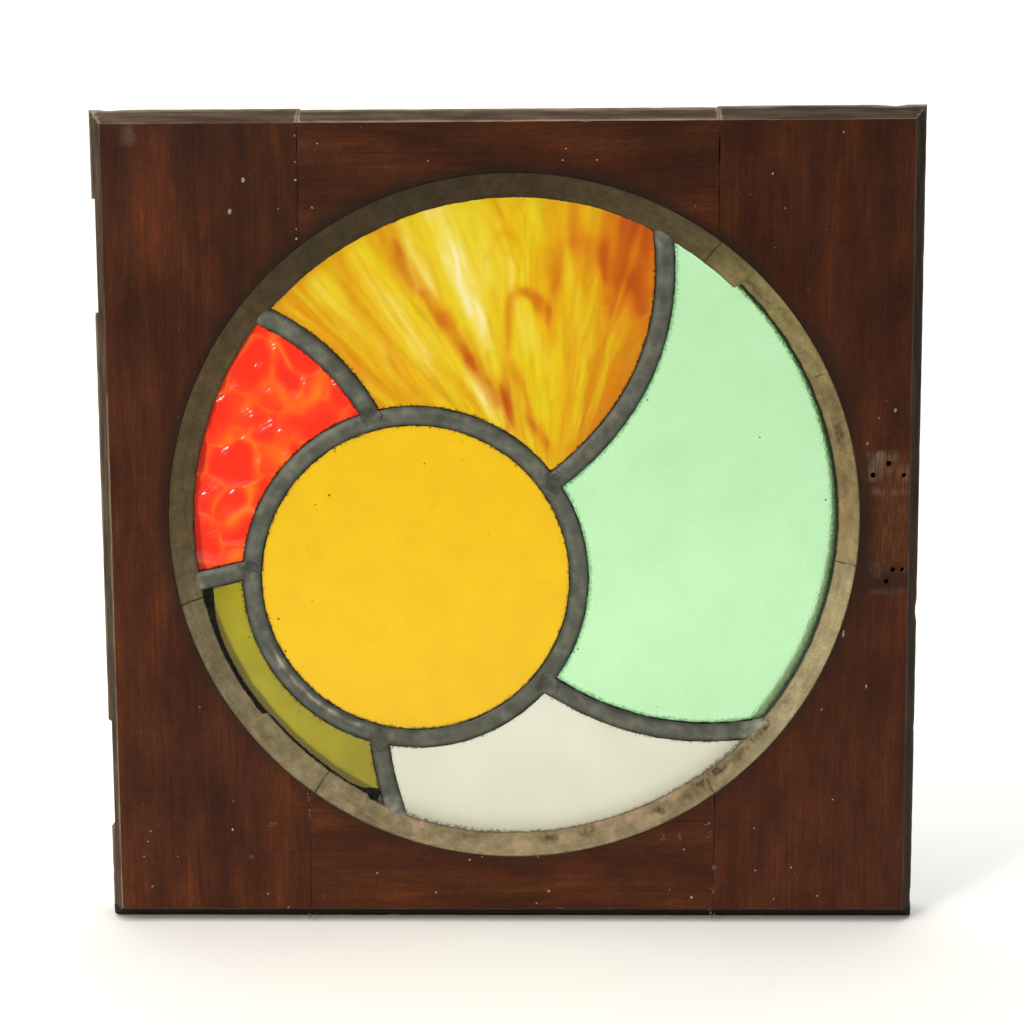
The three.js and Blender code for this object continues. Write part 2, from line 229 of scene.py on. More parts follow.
def varnished_mahogany(name, grain_axis, tones, offset, mark=None):
    """Open-grained red-brown hardwood under old varnish, with its grain along one axis.

    Patchy figure, fine streaks and short dark pores follow the grain. The varnish has gone
    from the bevel and edges, which are grey, with the arrises painted pale as rub and painted
    highlight, and grime and painted shade lie round the putty. mark(tree, place, wood) may add
    what one board alone has.
    """
    material, tree, shader, place = new_finish(name)
    spans = {"figure": (21, 110), "patch": (38, 62), "streak": (1.7, 44), "pore": (0.8, 6)}
    spans.update({"fleck": (10, 2.6), "mottle": (1.3, 1.9)})
    fields = {}
    for field, (across, along) in spans.items():
        span = [across * MM] * 3
        span[grain_axis] = along * MM
        moved = add_node(
            tree,
            "ShaderNodeMapping",
            {"Vector": place, "Location": offset, "Scale": [1 / s for s in span]},
        )
        fields[field] = add_node(
            tree,
            "ShaderNodeTexNoise",
            {"Vector": moved, "Scale": 1.0, "Detail": 4.0, "Roughness": 0.6, "Distortion": 0.3},
        )
    figure = add_node(
        tree, "ShaderNodeMix", {0: 0.36, 2: fields["figure"], 3: fields["streak"]}, data_type="FLOAT"
    )
    wood = add_node(tree, "ShaderNodeValToRGB", {"Fac": figure}, stops=tones)
    shades = {"patch": (0.3, 0.7, 0.74, 1.3), "pore": (0.34, 0.5, 0.76, 1.0)}
    shades.update({"mottle": (0.3, 0.7, 0.86, 1.12), "fleck": (0.3, 0.7, 0.9, 1.1)})
    for field, (low, high, dark, light) in shades.items():
        shade = add_node(
            tree, "ShaderNodeMapRange", {0: fields[field], 1: low, 2: high, 3: dark, 4: light}
        )
        wood = add_node(
            tree,
            "ShaderNodeMix",
            {FACTOR: 1.0, UNDER: wood, OVER: shade},
            COLOUR,
            data_type="RGBA",
            blend_type="MULTIPLY",
        )
    # painted shade towards the top and painted light towards the bottom, evening out how the lamps fall
    # on the face
    height = add_node(tree, "ShaderNodeSeparateXYZ", {0: place}, "Z")
    painted_height_shading = add_node(tree, "ShaderNodeMapRange", {0: height, 1: -0.26, 2: 0.16, 3: 1.34, 4: 0.94})
    wood = add_node(
        tree,
        "ShaderNodeMix",
        {FACTOR: 1.0, UNDER: wood, OVER: painted_height_shading},
        COLOUR,
        data_type="RGBA",
        blend_type="MULTIPLY",
    )
    if mark:
        depth = add_node(tree, "ShaderNodeSeparateXYZ", {0: place}, "Y")
        outer = add_node(tree, "ShaderNodeMath", {0: depth, 1: 0.0}, operation="LESS_THAN")
        wood = add_node(
            tree,
            "ShaderNodeMix",
            {FACTOR: outer, UNDER: wood, OVER: mark(tree, place, wood)},
            COLOUR,
            data_type="RGBA",
        )

    # grime and painted shade on the face round the putty, dying away a finger's width from the ring and
    # stronger towards the top
    from_ring = add_node(tree, "ShaderNodeVectorMath", {0: place, 1: RING}, operation="SUBTRACT")
    flat = add_node(
        tree, "ShaderNodeVectorMath", {0: from_ring, 1: (1, 0, 1)}, operation="MULTIPLY"
    )
    reach = add_node(tree, "ShaderNodeVectorMath", {0: flat}, "Value", operation="LENGTH")
    patchy = add_node(tree, "ShaderNodeTexNoise", {"Vector": place, "Scale": 30.0, "Detail": 5.0})
    spread = add_node(tree, "ShaderNodeMapRange", {0: patchy, 1: 0.3, 2: 0.7, 3: 0.003, 4: 0.016})
    spread = add_node(tree, "ShaderNodeMath", {0: spread, 1: REBATE_RADIUS}, operation="ADD")
    near = add_node(
        tree,
        "ShaderNodeMapRange",
        {0: reach, 1: REBATE_RADIUS - MM, 2: spread, 3: 1.0, 4: 0.0},
        interpolation_type="SMOOTHSTEP",
    )
    shade_higher_up = add_node(tree, "ShaderNodeMapRange", {0: height, 1: -0.12, 2: 0.1, 3: 0.42, 4: 0.84})
    near = add_node(tree, "ShaderNodeMath", {0: near, 1: shade_higher_up}, operation="MULTIPLY")
    wood = add_node(
        tree,
        "ShaderNodeMix",
        {FACTOR: near, UNDER: wood, OVER: linear("#1b1510")},
        COLOUR,
        data_type="RGBA",
    )

    # bare weathered wood wherever the surface isn't the varnished outer or inner face, streaked
    # along the edge it lies on
    normal = add_node(tree, "ShaderNodeTexCoord", output="Normal")
    upward = add_node(tree, "ShaderNodeSeparateXYZ", {0: normal}, "Z")
    upward = add_node(tree, "ShaderNodeMath", {0: upward}, operation="ABSOLUTE")
    upward = add_node(tree, "ShaderNodeMapRange", {0: upward, 1: 0.4, 2: 0.5, 3: 0.0, 4: 1.0})
    lengthwise = []
    for span in ((3.2 * MM, 12 * MM, 34 * MM), (34 * MM, 12 * MM, 3.2 * MM)):
        moved = add_node(tree, "ShaderNodeMapping", {"Vector": place, "Scale": [1 / s for s in span]})
        weather = add_node(
            tree, "ShaderNodeTexNoise", {"Vector": moved, "Scale": 1.0, "Detail": 5.0, "Roughness": 0.6}
        )
        lengthwise.append(weather)
    weather = add_node(
        tree, "ShaderNodeMix", {0: upward, 2: lengthwise[0], 3: lengthwise[1]}, data_type="FLOAT"
    )
    turned = add_node(tree, "ShaderNodeSeparateXYZ", {0: normal}, "Y")
    flatness = add_node(tree, "ShaderNodeMath", {0: turned}, operation="ABSOLUTE")
    bare = add_node(tree, "ShaderNodeMapRange", {0: flatness, 1: 0.97, 2: 0.86, 3: 0.0, 4: 1.0})
    silver = add_node(
        tree,
        "ShaderNodeValToRGB",
        {"Fac": weather},
        stops=[(0.28, "#2b211a"), (0.44, "#3a2e24"), (0.58, "#463a2e"), (0.74, "#55483a")],
    )
    # the bare wood is painted paler towards the hinge side and darker on the outermost edge of the
    # catch side
    sideways = add_node(tree, "ShaderNodeSeparateXYZ", {0: place}, "X")
    paler_leftwards = add_node(tree, "ShaderNodeMapRange", {0: sideways, 1: 0.05, 2: 0.505, 3: 1.35, 4: 0.95})
    silver = add_node(
        tree,
        "ShaderNodeMix",
        {FACTOR: 1.0, UNDER: silver, OVER: paler_leftwards},
        COLOUR,
        data_type="RGBA",
        blend_type="MULTIPLY",
    )
    darker_at_far_edge = add_node(tree, "ShaderNodeMapRange", {0: sideways, 1: 0.508, 2: 0.512, 3: 1.0, 4: 0.6})
    silver = add_node(
        tree,
        "ShaderNodeMix",
        {FACTOR: 1.0, UNDER: silver, OVER: darker_at_far_edge},
        COLOUR,
        data_type="RGBA",
        blend_type="MULTIPLY",
    )
    wood = add_node(
        tree, "ShaderNodeMix", {FACTOR: bare, UNDER: wood, OVER: silver}, COLOUR, data_type="RGBA"
    )

    # arrises painted pale, part rubbed wear and part painted highlight, most on those facing up and to
    # the hinge side, towards the key lamp
    rubbed = add_node(tree, "ShaderNodeAttribute", output="Fac", attribute_name="wear_and_highlight")
    patched = add_node(tree, "ShaderNodeMapRange", {0: weather, 1: 0.3, 2: 0.7, 3: 0.5, 4: 1.3})
    rubbed = add_node(tree, "ShaderNodeMath", {0: rubbed, 1: patched}, operation="MULTIPLY")
    rubbed = add_node(tree, "ShaderNodeMapRange", {0: rubbed, 1: 0.3, 2: 1.0, 3: 0.0, 4: 0.85})
    towards_key_lamp = add_node(
        tree, "ShaderNodeVectorMath", {0: normal, 1: (-0.7, 0, 0.7)}, "Value", operation="DOT_PRODUCT"
    )
    towards_key_lamp = add_node(tree, "ShaderNodeMapRange", {0: towards_key_lamp, 1: -0.25, 2: 0.35, 3: 0.2, 4: 1.0})
    rubbed = add_node(tree, "ShaderNodeMath", {0: rubbed, 1: towards_key_lamp}, operation="MULTIPLY")
    rubbed = add_node(tree, "ShaderNodeMath", {0: rubbed, 1: bare}, operation="MULTIPLY")
    wood = add_node(
        tree,
        "ShaderNodeMix",
        {FACTOR: rubbed, UNDER: wood, OVER: linear("#8a7d69")},
        COLOUR,
        data_type="RGBA",
    )

    # the wall of the opening behind the glass keeps some pale old paint
    behind = add_node(tree, "ShaderNodeMapRange", {0: reach, 1: 0.2062, 2: 0.2052, 3: 0.0, 4: 0.85})
    wood = add_node(
        tree,
        "ShaderNodeMix",
        {FACTOR: behind, UNDER: wood, OVER: linear("#b5ab90")},
        COLOUR,
        data_type="RGBA",
    )

    # painted shade on the bottom bevel and edge, which face down
    underside_shade = add_node(
        tree,
        "ShaderNodeMapRange",
        {0: height, 1: sash_low.z + 9.5 * MM, 2: sash_low.z + 7.5 * MM, 3: 0.0, 4: 0.86},
    )
    wood = add_node(
        tree,
        "ShaderNodeMix",
        {FACTOR: underside_shade, UNDER: wood, OVER: linear("#120b07")},
        COLOUR,
        data_type="RGBA",
    )
    relief = add_node(
        tree, "ShaderNodeMix", {0: 0.5, 2: fields["pore"], 3: fields["streak"]}, data_type="FLOAT"
    )
    sheen = add_node(tree, "ShaderNodeMapRange", {0: patchy, 1: 0.3, 2: 0.7, 3: 0.4, 4: 0.58})
    rough = add_node(tree, "ShaderNodeMix", {0: bare, 2: sheen, 3: 0.85}, data_type="FLOAT")
    bump = add_node(
        tree, "ShaderNodeBump", {"Strength": 0.35, "Distance": 0.25 * MM, "Height": relief}
    )
    tree.links.new(rough, shader.inputs["Roughness"])
    tree.links.new(bump, shader.inputs["Normal"])
    tree.links.new(wood, shader.inputs["Base Color"])
    shader.inputs["Specular IOR Level"].default_value = 0.1
    return material


def weld(node):
    """A CAD node's mesh as a bmesh of whole faces."""
    bm = bmesh.new()
    bm.from_mesh(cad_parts[node].data)
    bmesh.ops.remove_doubles(bm, verts=bm.verts, dist=0.005 * MM)
    bmesh.ops.dissolve_limit(bm, angle_limit=math.radians(1), verts=bm.verts, edges=bm.edges)
    return bm


def worn_board(node, material):
    """The board with its arrises rounded, rubbed and nicked, on a close net of cuts."""
    bm = weld(node)
    arrises = [
        edge
        for edge in bm.edges
        if edge.calc_face_angle(0) > math.radians(20) and edge.calc_length() > SCREW_FACET
    ]
    bmesh.ops.bevel(
        bm, geom=arrises, offset=EASING, segments=2, profile=0.5, affect="EDGES",
        material=-1, clamp_overlap=True,
    )
    low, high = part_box(node)
    for axis in (Vector((1, 0, 0)), Vector((0, 0, 1))):
        cuts = int((high - low).dot(axis) / NICK_PITCH)
        for i in range(1, cuts):
            bmesh.ops.bisect_plane(
                bm, geom=bm.verts[:] + bm.edges[:] + bm.faces[:], dist=0.002 * MM,
                plane_co=low.lerp(high, i / cuts), plane_no=axis,
            )
    bm.normal_update()
    wear_and_highlight = bm.verts.layers.float.new("wear_and_highlight")
    for face in bm.faces:
        face.smooth = face.calc_area() < (1.5 * MM) ** 2
    for vert in bm.verts:
        if max(face.normal.dot(vert.normal) for face in vert.link_faces) > 0.999:
            continue
        off = vert.co - sash_middle
        # arris points carry the pale rub and painted highlight
        vert[wear_and_highlight] = 1.0 if max(abs(off.x), abs(off.z)) > OUTER_ARRIS else 0.3
        rub = max(0, noise.noise(vert.co * 90)) * RUB
        nick = max(0, noise.noise(vert.co * 60 + Vector((7, 3, 1))) - 0.42) * NICK
        vert.co -= vert.normal * (rub + nick)
    for vert in bm.verts:
        vert.co.y = max(vert.co.y, OUTER_FACE + FACE_SETBACK)
        corner = Vector((sash_low.x + FOOT_ROUND, 0, sash_low.z + FOOT_ROUND))
        into = Vector((vert.co.x - corner.x, 0, vert.co.z - corner.z))
        if into.x < 0 and into.z < 0 and into.length > FOOT_ROUND:
            vert.co.x, vert.co.z = (corner + into.normalized() * FOOT_ROUND).xz
    board = new_piece(node + "_board", bm, material)
    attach(board, "root")
    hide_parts(node)


def band(tree, place, axis, low, high, fade):
    """1 between two places along an axis and 0 outside them, fading over a distance."""
    along = add_node(tree, "ShaderNodeSeparateXYZ", {0: place}, axis)
    centre, half = (low + high) / 2, (high - low) / 2
    off = add_node(tree, "ShaderNodeMath", {0: along, 1: centre * MM}, operation="SUBTRACT")
    off = add_node(tree, "ShaderNodeMath", {0: off}, operation="ABSOLUTE")
    edges = {0: off, 1: (half - fade / 2) * MM, 2: (half + fade / 2) * MM, 3: 1.0, 4: 0.0}
    return add_node(tree, "ShaderNodeMapRange", edges, interpolation_type="SMOOTHSTEP")


def ragged(tree, place, size, reach):
    """The coordinates shaken by noise, so that a band drawn with them has ragged edges."""
    shake = add_node(
        tree, "ShaderNodeTexNoise", {"Vector": place, "Scale": 1 / (size * MM), "Detail": 4.0}, 1
    )
    shake = add_node(tree, "ShaderNodeVectorMath", {0: shake, 1: (0.5, 0.5, 0.5)}, operation="SUBTRACT")
    shake = add_node(tree, "ShaderNodeVectorMath", {0: shake, 3: reach * MM}, operation="SCALE")
    return add_node(tree, "ShaderNodeVectorMath", {0: place, 1: shake}, operation="ADD")


def area(tree, place, x_span, z_span, fade):
    """1 inside a rectangle of the face, fading to 0 over a distance."""
    wide = band(tree, place, "X", *x_span, fade)
    high = band(tree, place, "Z", *z_span, fade)
    return add_node(tree, "ShaderNodeMath", {0: wide, 1: high}, operation="MULTIPLY")


def ribbon_figure(tree, place, wood):
    """The hinge stile's lighter ribbon, near its top, and a grey scuff in its corner."""
    shaken = ragged(tree, place, 26, 26)
    ribbon = area(tree, shaken, (34, 46), (160, 246), 24)
    wood = add_node(
        tree,
        "ShaderNodeMix",
        {FACTOR: ribbon, UNDER: wood, OVER: (1.6, 1.45, 1.2, 1)},
        COLOUR,
        data_type="RGBA",
        blend_type="MULTIPLY",
    )
    scuff = area(tree, ragged(tree, place, 8, 9), (24, 31), (239, 249), 6)
    scuff = add_node(tree, "ShaderNodeMath", {0: scuff, 1: 0.22}, operation="MULTIPLY")
    return add_node(
        tree,
        "ShaderNodeMix",
        {FACTOR: scuff, UNDER: wood, OVER: linear("#6f6458")},
        COLOUR,
        data_type="RGBA",
    )


def catch_ghost(tree, place, wood):
    """Where a catch plate sat: paler scratched wood, scuffed about its screws, with dirt round."""
    shaken = ragged(tree, place, 7, 10)
    dark_edging = area(tree, shaken, (480, 515), (-44, 46), 8)
    dark_edging = add_node(tree, "ShaderNodeMath", {0: dark_edging, 1: 0.66}, operation="MULTIPLY")
    wood = add_node(
        tree,
        "ShaderNodeMix",
        {FACTOR: dark_edging, UNDER: wood, OVER: linear("#251a11")},
        COLOUR,
        data_type="RGBA",
    )
    strokes = add_node(
        tree, "ShaderNodeMapping", {"Vector": place, "Scale": (1 / (1.1 * MM), 1, 1 / (13 * MM))}
    )
    strokes = add_node(
        tree, "ShaderNodeTexNoise", {"Vector": strokes, "Scale": 1.0, "Detail": 4.0, "Roughness": 0.65}
    )
    scratched = add_node(
        tree,
        "ShaderNodeValToRGB",
        {"Fac": strokes},
        stops=[(0.3, "#3a1e10"), (0.5, "#4e2a16"), (0.64, "#5f3822"), (0.76, "#8a6b52")],
    )
    pale = area(tree, ragged(tree, place, 9, 12), (491, 515), (-28, 44), 12)
    pale = add_node(tree, "ShaderNodeMath", {0: pale, 1: 0.85}, operation="MULTIPLY")
    wood = add_node(
        tree, "ShaderNodeMix", {FACTOR: pale, UNDER: wood, OVER: scratched}, COLOUR, data_type="RGBA"
    )
    scuffs = ragged(tree, place, 6, 9)
    for x_span, z_span, share in (
        ((486, 495), (28, 46), 0.5), ((490, 505), (40, 46), 0.34), ((493, 503), (31, 37), 0.26),
        ((487, 496), (19, 22), 0.4), ((500, 512), (19, 22), 0.34), ((505, 514), (26, 37), 0.26),
        ((489, 494), (-34, -24), 0.2), ((488, 512), (-44, -41), 0.26),
    ):
        scuff = area(tree, scuffs, x_span, z_span, 5)
        broken = add_node(
            tree, "ShaderNodeMapRange", {0: strokes, 1: 0.38, 2: 0.62, 3: share * 0.15, 4: share}
        )
        scuff = add_node(tree, "ShaderNodeMath", {0: scuff, 1: broken}, operation="MULTIPLY")
        wood = add_node(
            tree,
            "ShaderNodeMix",
            {FACTOR: scuff, UNDER: wood, OVER: linear("#7d6955")},
            COLOUR,
            data_type="RGBA",
        )
    return wood


UPRIGHT, LEVEL = 2, 0  # axes that the grain runs along
stile_tones = [(0.32, "#2c140c"), (0.46, "#371a0d"), (0.58, "#42200e"), (0.72, "#5a2d12")]
rail_tones = [(0.32, "#2f160c"), (0.46, "#3a1b0c"), (0.58, "#45220e"), (0.72, "#5c2f12")]

hinge_wood = varnished_mahogany(
    "varnished_mahogany_hinge_stile", UPRIGHT, stile_tones, (3, 1, 2), ribbon_figure
)
worn_board("hinge_stile", hinge_wood)
catch_wood = varnished_mahogany(
    "varnished_mahogany_catch_stile", UPRIGHT, stile_tones, (8, 4, 5), catch_ghost
)
worn_board("catch_stile", catch_wood)
top_wood = varnished_mahogany("varnished_mahogany_top_rail", LEVEL, rail_tones, (5, 9, 1))
worn_board("top_rail", top_wood)
bottom_wood = varnished_mahogany("varnished_mahogany_bottom_rail", LEVEL, rail_tones, (2, 6, 8))
worn_board("bottom_rail", bottom_wood)

# ---------------------------------------------------------------- glass
# Six panes cut from rolled sheet of one thickness and ground to fit. Each keeps the face of
# its own making: flat, granular, streaky or hammered. Light comes through all of them, and each
# has a dark line where it goes under the lead and the putty, part glazing dirt and part painted shade.

CAME_WIDTH = 11.8 * MM
came_low, came_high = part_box("round_came")
CAME_RADIUS = (came_high.x - came_low.x - CAME_WIDTH) / 2
roundel_low, roundel_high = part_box("yellow_roundel")
ROUNDEL = (roundel_low + roundel_high) / 2
GLASS_FRONT, GLASS_BACK = roundel_low.y, roundel_high.y
GLASS_MIDDLE = (GLASS_FRONT + GLASS_BACK) / 2
SIGHT = 205 * MM  # about where the putty's foot stands
BRANCH_END = 222 * MM

# each branch of lead: its bearing from the roundel, its bearing from the ring's middle where
# it ends, and how far it bows to the left
BRANCHES = {
    "amber_mint": (35.1, 65.9, -31.2 * MM),
    "red_amber": (103.8, 141.9, -11.3 * MM),
    "red_olive": (176.2, 191.2, 0.0),
    "olive_white": (256.4, 251.9, -3.6 * MM),
    "white_mint": (320.7, 324.1, -19.5 * MM),
}


def on_circle(centre, radius, degrees):
    """A point in the middle of the glass, on a circle about a centre."""
    turn = math.radians(degrees)
    out, up = radius * math.cos(turn), radius * math.sin(turn)
    return Vector((centre.x + out, GLASS_MIDDLE, centre.z + up))


def branch_line(name):
    """A branch's middle line from the round came to the rim, as a function of 0 to 1."""
    leave, arrive, bulge = BRANCHES[name]
    start = on_circle(ROUNDEL, CAME_RADIUS, leave)
    end = on_circle(RING, BRANCH_END, arrive)
    run = (end - start).normalized()
    control = (start + end) / 2 + Vector((-run.z, 0, run.x)) * 2 * bulge

    def point(t):
        return start * (1 - t) ** 2 + control * 2 * t * (1 - t) + end * t ** 2

    return point, (end - start).length


line_points = [branch_line(name)[0](i / 250) for name in BRANCHES for i in range(251)]
lead_lines = kdtree.KDTree(len(line_points))
for i, spot in enumerate(line_points):
    lead_lines.insert(spot, i)
lead_lines.balance()


def to_lead(x, z):
    """Distance from a point on the glass to the nearest middle line of lead."""
    spot = Vector((x, GLASS_MIDDLE, z))
    around = abs((spot - ROUNDEL).xz.length - CAME_RADIUS)
    return min(around, lead_lines.find(spot)[2])


def rim_share(x, z):
    """1 where the glass goes under lead or putty, falling to 0 a few millimetres off."""
    inside = min(to_lead(x, z) - CAME_WIDTH / 2, SIGHT - (Vector((x, 0, z)) - RING).xz.length)
    return max(0.0, min(1.0, 1 - inside / (6 * MM)))


def glass_sheet(node, pitch, relief, **tones):
    """The pane cut from a fine sheet, whose outer face is then moved by relief(x, z).

    Each extra tone(x, z) is stored on the mesh for the glass's colour, and so is the rim.
    """
    low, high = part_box(node)
    middle = (low + high) / 2
    size = high - low
    bm = bmesh.new()
    bmesh.ops.create_grid(
        bm,
        x_segments=round(size.x / pitch) + 2,
        y_segments=round(size.z / pitch) + 2,
        size=0.5,
        matrix=Matrix.Rotation(math.pi / 2, 4, "X"),
    )
    bmesh.ops.scale(bm, verts=bm.verts, vec=(size.x + 2 * pitch, 1, size.z + 2 * pitch))
    bmesh.ops.translate(bm, verts=bm.verts, vec=(middle.x, low.y, middle.z))
    out = bmesh.ops.extrude_face_region(bm, geom=bm.faces[:])["geom"]
    bmesh.ops.translate(bm, verts=points_of(out), vec=(0, size.y, 0))
    bmesh.ops.recalc_face_normals(bm, faces=bm.faces)
    sheet = new_piece("sheet", bm, None)
    outline = weld(node)
    bmesh.ops.scale(
        outline, verts=outline.verts, vec=(1, 3, 1), space=Matrix.Translation(-middle)
    )
    cutter = new_piece("outline", outline, None)
    cut = sheet.modifiers.new("cut_to_outline", "BOOLEAN")
    cut.operation = "INTERSECT"
    cut.solver = "MANIFOLD"
    cut.object = cutter
    evaluated = sheet.evaluated_get(bpy.context.evaluated_depsgraph_get())
    bm = bmesh.new()
    bm.from_mesh(evaluated.to_mesh())
    evaluated.to_mesh_clear()
    for spent in (sheet, cutter):
        bpy.data.objects.remove(spent)
    rim = bm.verts.layers.float.new("rim")
    layers = {name: bm.verts.layers.float.new(name) for name in tones}
    for vert in bm.verts:
        x, z = vert.co.x, vert.co.z
        vert[rim] = rim_share(x, z)
        for name, layer in layers.items():
            vert[layer] = tones[name](x / MM, z / MM)
        if vert.co.y < low.y + 0.1 * MM:
            vert.co.y += relief(x / MM, z / MM) * MM
    for face in bm.faces:
        face.smooth = abs(face.normal.y) > 0.5
    return bm


def finish_glass(tree, shader, tint, dark_edging, width, clear, rough, place):
    """Adds a dark line round the edges to a glass's tint, part glazing dirt and part painted shade, and
    sets how clear it is.
    """
    rim = add_node(tree, "ShaderNodeAttribute", output="Fac", attribute_name="rim")
    crumbs = add_node(tree, "ShaderNodeTexNoise", {"Vector": place, "Scale": 520.0, "Detail": 4.0})
    crumbs = add_node(tree, "ShaderNodeMapRange", {0: crumbs, 1: 0.3, 2: 0.7, 3: -0.24, 4: 0.24})
    edge = add_node(tree, "ShaderNodeMath", {0: rim, 1: crumbs}, operation="ADD")
    # glazing dirt and painted shade: the tint darkens towards the lead, the putty and the rebate behind
    share = add_node(
        tree,
        "ShaderNodeMapRange",
        {0: edge, 1: 1 - width / 6, 2: 1.04 - width / 20, 3: 0.0, 4: 0.92},
    )
    tint = add_node(
        tree,
        "ShaderNodeMix",
        {FACTOR: share, UNDER: tint, OVER: linear(dark_edging)},
        COLOUR,
        data_type="RGBA",
    )
    tree.links.new(tint, shader.inputs["Base Color"])
    shader.inputs["Transmission Weight"].default_value = clear
    shader.inputs["Roughness"].default_value = rough
    shader.inputs["IOR"].default_value = 1.5
    shader.inputs["Specular IOR Level"].default_value = 0.07


def lay_pane(node, bm, material):
    """Puts a finished pane in place of its plain solid."""
    pane = new_piece(node + "_glass", bm, material)
    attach(pane, "root")
    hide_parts(node)


def rolled(x, z):
    """The slow waviness of rolled sheet, in millimetres inwards."""
    return 0.06 + 0.05 * noise.noise(Vector((x / 34, z / 34, 0)))


# Golden yellow: an even opalescent sheet, hardly mottled.
yellow_glass, tree, shader, place = new_finish("opalescent_yellow_glass")
mottle = add_node(tree, "ShaderNodeTexNoise", {"Vector": place, "Scale": 60.0, "Detail": 6.0})
tint = add_node(
    tree, "ShaderNodeValToRGB", {"Fac": mottle}, stops=[(0.35, "#e8bb00"), (0.65, "#edc200")]
)
finish_glass(tree, shader, tint, "#3a2206", 1.3, 0.8, 0.32, place)
bm = glass_sheet("yellow_roundel", 2 * MM, rolled)
lay_pane("yellow_roundel", bm, yellow_glass)

# Mint green cathedral glass: clear, with a fine granular face that breaks up what is behind.
mint_glass, tree, shader, place = new_finish("granular_mint_cathedral_glass")
grains = add_node(tree, "ShaderNodeTexNoise", {"Vector": place, "Scale": 620.0, "Detail": 2.0})
patches = add_node(tree, "ShaderNodeTexNoise", {"Vector": place, "Scale": 26.0, "Detail": 3.0})
tint = add_node(
    tree, "ShaderNodeValToRGB", {"Fac": patches}, stops=[(0.35, "#aedcaa"), (0.65, "#b4e0b0")]
)
grain_shade = add_node(tree, "ShaderNodeMapRange", {0: grains, 1: 0.3, 2: 0.7, 3: 0.96, 4: 1.04})
tint = add_node(
    tree,
    "ShaderNodeMix",
    {FACTOR: 1.0, UNDER: tint, OVER: grain_shade},
    COLOUR,
    data_type="RGBA",
    blend_type="MULTIPLY",
)
bump = add_node(tree, "ShaderNodeBump", {"Strength": 0.5, "Distance": 0.4 * MM, "Height": grains})
tree.links.new(bump, shader.inputs["Normal"])
# the mint's dark green rim is painted shade of the rebate seen through the glass
finish_glass(tree, shader, tint, "#4f9057", 2.6, 1.0, 0.2, place)
lay_pane("mint_pane", glass_sheet("mint_pane", 2 * MM, rolled), mint_glass)

# White opal: dense milky glass.
white_glass, tree, shader, place = new_finish("white_opal_glass")
cloud = add_node(tree, "ShaderNodeTexNoise", {"Vector": place, "Scale": 22.0, "Detail": 3.0})
tint = add_node(
    tree, "ShaderNodeValToRGB", {"Fac": cloud}, stops=[(0.35, "#e6e8d6"), (0.65, "#eceedf")]
)
finish_glass(tree, shader, tint, "#8d8a78", 1.0, 0.55, 0.45, place)
lay_pane("white_pane", glass_sheet("white_pane", 2 * MM, rolled), white_glass)

# Olive green: smooth and dark, with a brownish cast.
olive_glass, tree, shader, place = new_finish("olive_green_glass")
cloud = add_node(tree, "ShaderNodeTexNoise", {"Vector": place, "Scale": 40.0, "Detail": 3.0})
tint = add_node(
    tree, "ShaderNodeValToRGB", {"Fac": cloud}, stops=[(0.35, "#8a8000"), (0.65, "#9b9100")]
)
finish_glass(tree, shader, tint, "#14140a", 1.6, 0.9, 0.2, place)
lay_pane("olive_pane", glass_sheet("olive_pane", 2 * MM, rolled), olive_glass)

# Hammered orange-red: two thumbs' width between the blows, each a shallow pillow, with thinner
# and more orange glass in the valleys between. The hammer left short crisp ripples in places,
# given as place x, z and reach.
LUMP_PITCH = 25.0
RIPPLE_PITCH = 2.8
RIPPLE_RISE = 0.72  # the share of each ripple that faces up and to the left
RIPPLES = [
    (111, 113, 5), (103, 101, 5), (130, 91, 5), (118, 87, 4), (108, 84, 5), (126, 82, 4),
    (151, 90, 4), (95, 71, 6), (109, 64, 6), (114, 60, 5), (80, 47, 5), (87, 88, 5), (72, 24, 6),
    (66, 19, 5), (84, 20, 4), (92, 25, 4), (100, 40, 4), (78, 81, 5), (104, 60, 5), (118, 46, 4),
    (70, -6, 4), (93, 55, 4), (140, 96, 4),
]


def lump(x, z):
    """How far a point is from the nearest valley, from 0 to 1."""
    drift = Vector((noise.noise(Vector((x, z, 0)) / 15), noise.noise(Vector((x, z, 40)) / 15), 0))
    near, far = noise.voronoi(Vector((x, z, 3)) / LUMP_PITCH + drift * 0.2)[0][:2]
    return min(1.0, (far - near) * 1.55)


def hammered(x, z):
    """Relief of the hammered face, in millimetres inwards."""
    here = max(max(0.0, 1 - math.hypot(x - px, z - pz) / reach) for px, pz, reach in RIPPLES)
    shake = noise.noise(Vector((x, z, 9)) / 4)
    turn = ((0.85 * z - 0.53 * x) / RIPPLE_PITCH + 0.35 * shake) % 1.0
    stroke = turn / RIPPLE_RISE if turn < RIPPLE_RISE else (1 - turn) / (1 - RIPPLE_RISE)
    fading = 0.9 + 0.8 * noise.noise(Vector((x, z, 5)) / 2.6)
    ripple = 0.6 * min(1.0, here * 1.8) * (stroke - 0.5) * fading
    swell = noise.noise(Vector((x, z, 0)) / 6) * 0.05
    return 0.5 * (1 - math.sin(lump(x, z) * math.pi / 2)) + ripple + swell + 0.4


